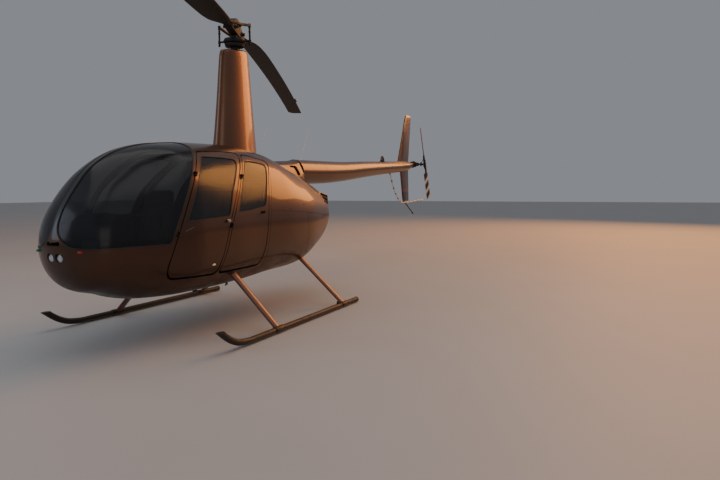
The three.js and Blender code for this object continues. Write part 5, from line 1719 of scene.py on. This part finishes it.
def tail_gear():
    x, z = TAIL_HUB[0], TAIL_HUB[2]
    neck = turned([[0, 0.040], [0.002, 0.044], [0.02, 0.0445], [0.024, 0.050], [0.034, 0.051],
            [0.038, 0.047], [0.060, 0.054], [0.062, 0.030]], (-5.8003, 0, 1.860), (-5.90, 0, 1.860), 48)
    case = turned([[0, 0.030], [0.003, 0.048], [0.010, 0.056], [0.030, 0.058], [0.060, 0.058],
            [0.066, 0.0605], [0.074, 0.0605], [0.080, 0.058], [0.110, 0.056], [0.122, 0.046],
            [0.127, 0.036], [0.1275, 0.002]], (x, -0.062, z), (x, 1, z), 56)
    nose = lathe([[0, 0.0169], [0, 0.037], [0.004, 0.040], [0.010, 0.036], [0.045, 0.034], [0.052, 0.031],
            [0.054, 0.0169]], (x, 0.066, z), (x, 1, z), 48)
    bolts = [hexagon((x + 0.051 * np.cos(a), -0.062 + 0.066, z + 0.051 * np.sin(a)),
            (x + 0.051 * np.cos(a), 0.018, z + 0.051 * np.sin(a)), 0.0055)
            for a in np.linspace(0, 2 * np.pi, 10, endpoint=False)]
    cap = [turned([[0, 0.014], [0.012, 0.014], [0.016, 0.010], [0.017, 0.002]], (x, 0.01, z + 0.050),
            (x, 0.01, z + 1), 24), turned([[0, 0.012], [0.010, 0.012], [0.013, 0.002]],
            (x - 0.04, -0.01, z + 0.03), (x - 1, -0.01, z + 0.5), 20)]
    make("tail_gear_case", [neck, case, nose, *bolts, *cap], "hub_metal", "cast_metal",
         "tail_gearbox")


def guard_and_skid(grown):
    bar = carved("guard_tube", tube(spline(mm(GUARD), 150), 0.013, 24), "guard_paint", (CUT, grown))
    fit(bar, "white_paint", "tail_guard", degrees=50)
    foot = tube(spline(mm(TAIL_SKID), 60), 0.010, 20)
    clamp = board((-5.425, -5.365), (-0.011, 0.0205), (1.104, 1.1465), 0.004)
    end = turned([[0, 0.010], [0.004, 0.0135], [0.05, 0.0135], [0.055, 0.008]], (-5.850, 0, 0.9095),
            (-5.900, 0, 0.885), 24)
    make("tail_skid_bar", [foot, clamp, end], "skid_paint", "dark_paint", "tail_skid")


def beacon_and_aerials(grown):
    x = -4.288
    base = carved("beacon_base", turned([[0, 0.042], [0.052, 0.042], [0.058, 0.040], [0.062, 0.037],
            [0.063, 0.002]], (x, 0, 1.829), (x, 0, 2), 40), "black_trim", (CUT, grown))
    fit(base, "black_trim")
    dome = turned([[0, 0.036], [0.02, 0.0355], [0.045, 0.033], [0.062, 0.029], [0.073, 0.021],
            [0.078, 0.010], [0.079, 0.001]], (x, 0, 1.890), (x, 0, 2), 40)
    make("beacon_dome", [dome], "beacon_lens", "red_lens", "beacon")
    for name, foot, top in (("front", (-0.416, 0, 1.736), (-0.620, 0, 2.150)),
            ("rear", (-1.425, 0, 1.775), (-1.655, 0, 2.220))):
        foot, top = np.array(foot), np.array(top)
        stalk = [rod(foot, top, 0.005, 0.0025, 0.001, 16), sphere(top, (0.004, 0.004, 0.004)),
                turned([[0, 0.018], [0.008, 0.018], [0.012, 0.012], [0.030, 0.008], [0.034, 0.005]], foot
                - [0, 0, 0.006], foot + [0, 0, 1], 28)]
        make(f"{name}_aerial_whip", stalk, "pale_marks", "steel", f"{name}_aerial")


class HELICOPTER_OT_boom(bpy.types.Operator):
    """Tail boom with its fins, stabiliser, gearbox, rotor guard, tail skid, beacon and aerials"""
    bl_idname = "helicopter.boom"
    bl_label = "Tail boom"

    def execute(self, context):
        grown = boom_form(HAIR, HAIR)
        boom = carved("boom_tube", boom_form(0), "boom_paint", (CUT, whole_skin(-HAIR)))
        fit(boom, "paint", "tail_boom")
        upper = carved("fin_above", fin_form(UPPER_FIN, 0.017), "fin_paint", (CUT, grown))
        fit(upper, "paint", "upper_fin")
        lower = carved("fin_below", fin_form(LOWER_FIN, 0.017), "lower_fin_paint", (CUT, grown))
        fit(lower, "paint", "lower_fin")
        rings = []
        for y, lead, scale in ((-0.02, -5.120, 1), (-0.40, -5.1415, 1), (-0.84, -5.168, 1),
                (-0.852, -5.180, 0.8), (-0.858, -5.195, 0.5), (-0.860, -5.210, 0.25)):
            section = aerofoil_ring(lead, -5.450 + 0.02 * (scale < 1), 0.032 * scale)
            rings.append(np.column_stack([section[:, 0], np.full(len(section), y), 1.822 + section[:, 1]]))
        plane = carved("stabiliser_plane", loft(np.stack(rings)), "fin_paint", (CUT, grown))
        fit(plane, "paint", "stabiliser")
        tail_gear()
        guard_and_skid(grown)
        beacon_and_aerials(grown)
        return {"FINISHED"}


def rotor_frame(forms, half_turn=False):
    return turned_about(forms, ROTOR_AZIMUTH + (np.pi if half_turn else 0))


def pitched(form):
    """A form carried from a level, straight blade onto the drooping, pitched one: (r, y, h) goes to
    (r, y cos p - h sin p, root - droop (r / radius)^2 + y sin p + h cos p)."""
    points, faces, finishes = form
    r, y, h = points.T
    p = PITCH_AXIS + (PITCH_TIP - PITCH_AXIS) * r / ROTOR_R
    line = ROOT_Z - DROOP * (r / ROTOR_R) ** 2
    return np.column_stack([r, y * np.cos(p) - h * np.sin(p), line + y * np.sin(p) + h
            * np.cos(p)]), faces, finishes


def swashplate():
    outline = [[0, 0.0284], [0, 0.116], [0.003, 0.119], [0.018, 0.1245], [0.022, 0.1245], [0.024, 0.118],
            [0.030, 0.118], [0.032, 0.115], [0.044, 0.111], [0.046, 0.062], [0.054, 0.056],
            [0.054, 0.0284]]
    forms = [lathe(outline, (0, 0, 3.012), (0, 0, 4), 72)]
    x, y, z = mm(LINK_FOOT)
    top = mm(LINK_TOP)
    for side in (1, -1):
        flip = np.array([side, side, 1])
        foot, head = np.array([x, y, z]) * flip, top * flip
        way = unit(head - foot)
        forms += [rod(np.array([0.010, 0.06, 3.032]) * flip, np.array([x, y - 0.004, 3.032]) * flip,
                0.012, 0.010), rod(np.array([x, y - 0.004, 3.0]) * flip, np.array([x, y + 0.004, 3.044])
                * flip, 0.012), rod(foot + way * 0.02, head - way * 0.012, 0.0105),
                hexagon(foot + way * 0.030, foot + way * 0.042, 0.0145),
                hexagon(head - way * 0.050, head - way * 0.038, 0.0145),
                sphere(foot + [0, 0, 0.008], (0.0135, 0.012, 0.0135)),
                rod(np.array([x, y - 0.012, z + 0.008]) * flip, np.array([x, y + 0.012, z + 0.008])
                * flip, 0.008), sphere(head - way * 0.012, (0.012, 0.012, 0.0115))]
    bolts = bolt_ring(0.085, 3.054, 3.063, 0.006, 0.3)
    make("swashplate_rings", rotor_frame([*forms, *bolts]), "hub_metal", "steel",
         "swashplate", body="main_rotor")


def rotor_head():
    half = [[0, 3.098], [0.330, 3.110], [0.330, 3.190], [0.205, 3.197], [0.095, 3.262], [0, 3.276]]
    outline = np.array([*half, *[[-r, z] for r, z in half[-2:0:-1]]])
    bar = carved("hub_bar", prism(rounded(outline, 0.03, 8), -0.046, 0.046, "y", 0, 0.007), "hub_metal",
            (CUT, rod((0, 0, 3.0), (0, 0, 3.2153), 0.0283, sides=48)),
            *[(CUT, rod((x, y, 3.130), (x, y * 0.72, 3.130), 0.022, sides=32)) for x in (-0.085, 0.085)
            for y in (-0.06, 0.06)])
    forms = [freed(bar)]
    for r in (0, 0.175, -0.175):
        z = 3.150 if r else 3.210
        forms += [rod((r, -0.074, z), (r, 0.074, z), 0.0165), hexagon((r, 0.070, z), (r, 0.082, z),
                0.020), hexagon((r, -0.082, z), (r, -0.070, z), 0.020),
                rod((r, 0.046, z), (r, 0.056, z), 0.027), rod((r, -0.056, z), (r, -0.046, z), 0.027)]
    forms += [rod((0, 0, 3.262), (0, 0, 3.279), 0.020, edge=0.004),
            hexagon((0, 0, 3.270), (0, 0, 3.283), 0.012)]
    make("hub_yoke", rotor_frame(forms), "hub_metal", "cast_metal", "rotor_hub", body="main_rotor")


def main_blade(name, half_turn):
    # Columns: radius, leading edge, trailing edge, thickness.
    table = np.array([[330.3, 52, -60, 60], [420, 56, -100, 52], [540, 61, -148, 40], [760, 63, -176, 33],
            [1250, 63, -190.5, 30], [4960, 63, -190.5, 30], [ROTOR_R / MM, 40, -190.5, 22]]) * MM
    root, end = table[0, 0], table[-2, 0]
    r = np.unique(np.concatenate([np.linspace(root, 1.3, 60), np.linspace(1.3, end, 90),
            np.linspace(end, ROTOR_R, 14)]))
    lead, trail, thick = (smooth_curve(table[:, 0], table[:, k])(r) for k in (1, 2, 3))
    tip = np.clip((ROTOR_R - r) / 0.05, 0, 1)
    lead = np.where(r > end, 0.063 - 0.030 * (1 - tip) ** 2, lead)
    rings = []
    for radius, front, rear, full in zip(r, lead, trail, thick):
        section = aerofoil_ring(front, rear, full, 26)
        rings.append(np.column_stack([np.full(len(section), radius), section]))
    tab = board((3.88, 4.12), (-0.2145, -0.180), (-0.0012, 0.0012), 0.0005)
    make(f"blade_{name}", rotor_frame([pitched(loft(np.stack(rings))), pitched(tab)], half_turn),
         "blade_paint", "blade_paint", f"main_blade_{name}", body="main_rotor")
    foot, top, horn = mm(LINK_FOOT), mm(LINK_TOP), mm(HORN)
    up = unit(top - foot)
    metal = [rod(top + up * 0.0003, top + up * 0.042, 0.0155),
            sweep(spline([top + up * 0.024, (top + horn) / 2 + [0, 0.004, 0.006], horn], 12),
            rounded(box_outline((-0.014, 0.014), (-0.014, 0.014)), 0.010), [0, 0, 1])]
    for radius, y in ((0.375, 0.022), (0.375, -0.022), (0.425, 0.022), (0.425, -0.022), (0.52, 0.0),
            (0.58, -0.012)):
        half = np.interp(radius, table[:, 0], table[:, 3]) / 2
        metal += [pitched(hexagon((radius, y, side * half * 0.4), (radius, y, side * (half + 0.006)),
                0.0095)) for side in (1, -1)]
    make(f"blade_fittings_{name}", rotor_frame(metal, half_turn), "hub_metal", "steel", body="main_rotor")


class HELICOPTER_OT_main_rotor(bpy.types.Operator):
    """Main rotor: shaft, swashplate, teetering hub and two drooping blades"""
    bl_idname = "helicopter.main_rotor"
    bl_label = "Main rotor"

    def execute(self, context):
        shaft = [rod((0, 0, 2.74), (0, 0, 3.215), 0.0279, sides=48)]
        make("rotor_mast", rotor_frame(shaft), "hub_metal", "steel", "rotor_shaft", body="main_rotor")
        swashplate()
        rotor_head()
        for name, half_turn in (("front", False), ("rear", True)):
            main_blade(name, half_turn)
        return {"FINISHED"}


def at_tail(forms, half_turn=False):
    forms = turned_about(forms, np.pi, "Y") if half_turn else forms
    forms = turned_about(forms, TAIL_TILT, "Y")
    place = np.column_stack([np.eye(3), [TAIL_HUB[0], 0, TAIL_HUB[2]]])
    return moved(forms, place)


def tail_blade():
    table = np.array([[0.0953, 26, 38], [0.160, 26, 34], [0.215, 52, 17], [0.722, 52, 14],
            [TAIL_R, 44.2, 9]])
    table = table * [1, MM, MM]
    r = np.unique(np.concatenate([np.linspace(0.0953, 0.25, 20), np.linspace(0.25, 0.722, 20),
            np.linspace(0.722, TAIL_R, 6)]))
    lead, thick = (smooth_curve(table[:, 0], table[:, k])(r) for k in (1, 2))
    share = np.clip((r - 0.150) / 0.055, 0, 1)
    share = share * share * (3 - 2 * share)
    trail = -0.026 + share * (lead - TAIL_CHORD + 0.026)
    rings = []
    for radius, front, rear, full, pitch in zip(r, lead, trail, thick, share * TAIL_PITCH):
        u, h = aerofoil_ring(front, rear, full, 20).T
        rings.append(np.column_stack([u * np.cos(pitch) - h * np.sin(pitch), 0.250 + u * np.sin(pitch) + h
                * np.cos(pitch), np.full(len(u), radius)]))
    return loft(np.stack(rings))


class HELICOPTER_OT_tail_rotor(bpy.types.Operator):
    """Tail rotor: shaft, pitch plate and links, hub plate and two blades"""
    bl_idname = "helicopter.tail_rotor"
    bl_label = "Tail rotor"

    def execute(self, context):
        outline = [[0, 0.0158], [0, 0.036], [0.003, 0.040], [0.013, 0.040], [0.016, 0.036], [0.016, 0.0158]]
        forms = [rod((0, 0.0703, 0), (0, 0.262, 0), 0.016, sides=36),
                lathe(outline, (0, 0.160, 0), (0, 1, 0), 48), turned([[0, 0.030], [0.003, 0.034],
                [0.030, 0.034], [0.034, 0.030], [0.036, 0.002]], (0, 0.232, 0), (0, 1, 0), 48),
                prism(box_outline((-0.026, 0.026), (-0.095, 0.095), 0.012), 0.232, 0.268, "y", 0, 0.006),
                hexagon((0, 0.262, 0), (0, 0.275, 0), 0.014)]
        for side in (1, -1):
            foot, head = np.array([side * 0.038, 0.168, 0]), np.array([side * 0.034, 0.246, side * 0.120])
            way = unit(head - foot)
            forms += [rod(foot, head, 0.0055), sphere(foot, (0.008, 0.008, 0.008)),
                    sphere(head, (0.008, 0.008, 0.008)), hexagon(foot + way * 0.02, foot + way * 0.028,
                    0.0085), hexagon((0, 0.230, side * 0.075), (0, 0.270, side * 0.075), 0.010)]
        make("tail_hub_plate", at_tail(forms), "hub_metal", "steel", "tail_rotor_hub", body="tail_rotor")
        for name, half_turn in (("upper", False), ("lower", True)):
            make(f"tail_blade_{name}_skin", at_tail([tail_blade()], half_turn), "tail_blade_paint",
                 "blade_paint", f"tail_blade_{name}", body="tail_rotor")
        return {"FINISHED"}


def landing_leg(name, x, top_y, top_z, grown, body):
    a, b = np.array([x, top_y, top_z]), np.array([x, SKID_Y, SKID_Z])
    t = np.linspace(0, 1, 30)[:, None]
    angle = np.linspace(0, 2 * np.pi, 48, endpoint=False)
    section = np.column_stack([0.044 * np.cos(angle), 0.021 * np.sin(angle)])
    flare = 1 + 0.30 * np.exp(-t[:, 0] / 0.10)
    strut = carved(f"{name}_strut_left", sweep(a + (b - a) * t, section, [1, 0, 0], scale=flare),
            "copper_paint", (CUT, grown), (CUT, body))
    fit(strut, "copper_paint", f"{name}_leg_left", degrees=50)
    other_side(strut, f"{name}_strut_right", "copper_paint", f"{name}_leg_right")
    outline = [[0, SKID_R + 0.0008], [0, SKID_R + 0.004], [0.003, SKID_R + 0.005],
            [0.147, SKID_R + 0.005], [0.150, SKID_R + 0.004], [0.150, SKID_R + 0.0008]]
    cuff = carved(f"{name}_cuff_left", lathe(outline, (x - 0.075, SKID_Y, SKID_Z), (x, SKID_Y, SKID_Z),
            56), "skid_paint", (CUT, board((x - 0.1, x + 0.1), (SKID_Y - 0.08, SKID_Y + 0.08),
            (-0.08, 0.0125))))
    fit(cuff, "dark_paint", degrees=40)
    other_side(cuff, f"{name}_cuff_right", "dark_paint")
    bolts = []
    for dx in (-0.062, 0.062):
        for side in (-1, 1):
            way = np.array([0, side, 0.35])
            at = np.array([x + dx, SKID_Y, SKID_Z]) + unit(way) * (SKID_R + 0.005)
            bolts.append(hexagon(at, at + unit(way) * 0.006, 0.007))
    make(f"{name}_leg_bolts", both_sides(bolts), "hub_metal", "steel")


class HELICOPTER_OT_landing_gear(bpy.types.Operator):
    """Two skids with wear shoes and wheel lugs, and four legs with their cuffs"""
    bl_idname = "helicopter.landing_gear"
    bl_label = "Landing gear"

    def execute(self, context):
        path = [[x * MM, SKID_Y, z * MM] for x, z in SKID_PATH]
        toe = carved("toe", tube(spline(path, 150), SKID_R, 32), "skid_paint",
                (CUT, board((1.45, 2.0), (SKID_Y - 0.1, SKID_Y + 0.1), (TOE_TOP, 0.4), 0)))
        forms = [freed(toe)]
        for x, _, _ in LEGS.values():
            x *= MM
            forms.append(board((x - 0.15, x + 0.15), (SKID_Y - 0.02, SKID_Y + 0.02), (0.0, 0.012), 0.003))
        forms.append(prism(rounded([[-0.500, 0.050], [-0.430, 0.050], [-0.430, 0.080], [-0.448, 0.096],
                [-0.482, 0.096], [-0.500, 0.080]], 0.01), SKID_Y - 0.012, SKID_Y + 0.012, "y", 0, 0.002))
        cap = turned([[0, 0.0305], [0.003, 0.032], [0.02, 0.032], [0.023, 0.029], [0.024, 0.004]],
                (-0.925, SKID_Y, SKID_Z), (-1, SKID_Y, SKID_Z), 32)
        for side, change in (("left", lambda form: form), ("right", mirrored)):
            make(f"skid_tube_{side}", [change(form) for form in [*forms, cap]], "skid_paint", "dark_paint",
                    f"skid_{side}")
        grown = rod((1.25, SKID_Y, SKID_Z), (-1.0, SKID_Y, SKID_Z), SKID_R + 0.0008, sides=48)
        body = whole_skin(-HAIR)
        for name, (x, top_y, top_z) in LEGS.items():
            landing_leg(name, *mm([x, top_y, top_z]), grown, body)
        return {"FINISHED"}


class HELICOPTER_OT_lamps(bpy.types.Operator):
    """Two landing lights in the nose and the navigation lights"""
    bl_idname = "helicopter.lamps"
    bl_label = "Lamps"

    def execute(self, context):
        bowls, rims, glasses = [], [], []
        for y in (-0.048, 0.048):
            foot, ahead = (2.345, y, 0.845), (3, y, 0.845)
            bowls.append(lathe([[0.001, 0.002], [0.004, 0.014], [0.012, 0.024], [0.028, 0.031],
                    [0.046, 0.0335], [0.046, 0.036], [0.026, 0.034], [0.008, 0.026], [0.000, 0.014],
                    [-0.003, 0.002]], foot, ahead, 48))
            bowls.append(sphere((2.366, y, 0.845), (0.012, 0.007, 0.007)))
            rims.append(lathe([[0.044, 0.0335], [0.044, 0.0379], [0.060, 0.0379], [0.062, 0.036],
                    [0.060, 0.0335]], foot, ahead, 48))
            glasses.append(turned([[0.050, 0.0333], [0.054, 0.0333], [0.060, 0.028], [0.064, 0.018],
                    [0.066, 0.002]], foot, ahead, 48))
        make("landing_bowls", bowls, "reflector", "clear_lens", "landing_lights")
        make("landing_rims", rims, "black_trim", "black_trim")
        make("landing_glasses", glasses, "clear_lens", "clear_lens")
        place = np.array([2.364, skin_y(2.364, 0.896), 0.896])
        for side, lens_name, flip in (("left", "red_lens", 1), ("right", "green_lens", -1)):
            bulb = carved(f"nav_lens_{side}", sphere(place * [1, flip, 1], (0.032, 0.013, 0.014), rows=24,
                    sides=36), lens_name, (CUT, whole_skin(-0.0006)))
            fit(bulb, lens_name, f"nav_light_{side}", degrees=50)
        return {"FINISHED"}


class HelicopterPaint(bpy.types.PropertyGroup):
    """Paint colours, as linear red, green and blue"""
    body: bpy.props.FloatVectorProperty(name="Body", description="Metallic paint of the skin", size=3,
            subtype="COLOR", default=(0.066, 0.029, 0.0155))
    legs: bpy.props.FloatVectorProperty(name="Legs", description="Copper paint of the landing legs", size=3,
            subtype="COLOR", default=(0.17, 0.070, 0.048))
    skids: bpy.props.FloatVectorProperty(name="Skids", description="Dark paint of the skid tubes", size=3,
            subtype="COLOR", default=(0.018, 0.011, 0.008))
    blades: bpy.props.FloatVectorProperty(name="Blades", description="Black paint of the rotor blades",
            size=3, subtype="COLOR", default=(0.011, 0.009, 0.008))
    white: bpy.props.FloatVectorProperty(name="White", description="White of the guard and tip bands", size=3,
            subtype="COLOR", default=(0.62, 0.58, 0.53))
    glass: bpy.props.FloatVectorProperty(name="Glass", description="Tint of the windows", size=3,
            subtype="COLOR", default=(0.020, 0.022, 0.026))
    seats: bpy.props.FloatVectorProperty(name="Seats", description="Seat leather", size=3, subtype="COLOR",
            default=(0.062, 0.049, 0.038))
    floor: bpy.props.FloatVectorProperty(name="Floor", description="Studio floor", size=3, subtype="COLOR",
            default=(0.47, 0.46, 0.45))


class HelicopterSizes(bpy.types.PropertyGroup):
    """Sizes of the details that the frame leaves open"""
    groove_width: bpy.props.FloatProperty(name="Groove width", description="Width of a panel joint",
            default=0.0036, min=0.001, max=0.01, unit="LENGTH")
    groove_depth: bpy.props.FloatProperty(name="Groove depth", description="Depth of a panel joint",
            default=0.0025, min=0.0005, max=0.01, unit="LENGTH")
    seat_swell: bpy.props.FloatProperty(name="Seat swell",
            description="How far the stuffing pushes a cushion out", default=0.013, min=0.0, max=0.03,
            unit="LENGTH")


STEPS = (HELICOPTER_OT_stage, HELICOPTER_OT_shell, HELICOPTER_OT_windscreens, HELICOPTER_OT_doors,
        HELICOPTER_OT_seats, HELICOPTER_OT_controls, HELICOPTER_OT_engine_bay, HELICOPTER_OT_mast,
        HELICOPTER_OT_boom, HELICOPTER_OT_main_rotor, HELICOPTER_OT_tail_rotor, HELICOPTER_OT_landing_gear,
        HELICOPTER_OT_lamps)


class HELICOPTER_PT_panel(bpy.types.Panel):
    """Lists the steps that dress the frame"""
    bl_idname = "HELICOPTER_PT_panel"
    bl_label = "Helicopter"
    bl_space_type = "VIEW_3D"
    bl_region_type = "UI"
    bl_category = "Helicopter"

    def draw(self, context):
        for group in (context.scene.helicopter_paint, context.scene.helicopter_sizes):
            for name in group.__annotations__:
                self.layout.prop(group, name)
        for step in STEPS:
            self.layout.operator(step.bl_idname)


CLASSES = (HelicopterPaint, HelicopterSizes, *STEPS, HELICOPTER_PT_panel)


def register():
    for kind in CLASSES:
        bpy.utils.register_class(kind)
    bpy.types.Scene.helicopter_paint = bpy.props.PointerProperty(type=HelicopterPaint)
    bpy.types.Scene.helicopter_sizes = bpy.props.PointerProperty(type=HelicopterSizes)


def unregister():
    del bpy.types.Scene.helicopter_sizes
    del bpy.types.Scene.helicopter_paint
    for kind in reversed(CLASSES):
        bpy.utils.unregister_class(kind)


def main():
    register()
    bpy.ops.helicopter.stage()
    bpy.ops.helicopter.shell()
    bpy.ops.helicopter.windscreens()
    bpy.ops.helicopter.doors()
    bpy.ops.helicopter.seats()
    bpy.ops.helicopter.controls()
    bpy.ops.helicopter.engine_bay()
    bpy.ops.helicopter.mast()
    bpy.ops.helicopter.boom()
    bpy.ops.helicopter.main_rotor()
    bpy.ops.helicopter.tail_rotor()
    bpy.ops.helicopter.landing_gear()
    bpy.ops.helicopter.lamps()


if __name__ == "__main__":
    main()
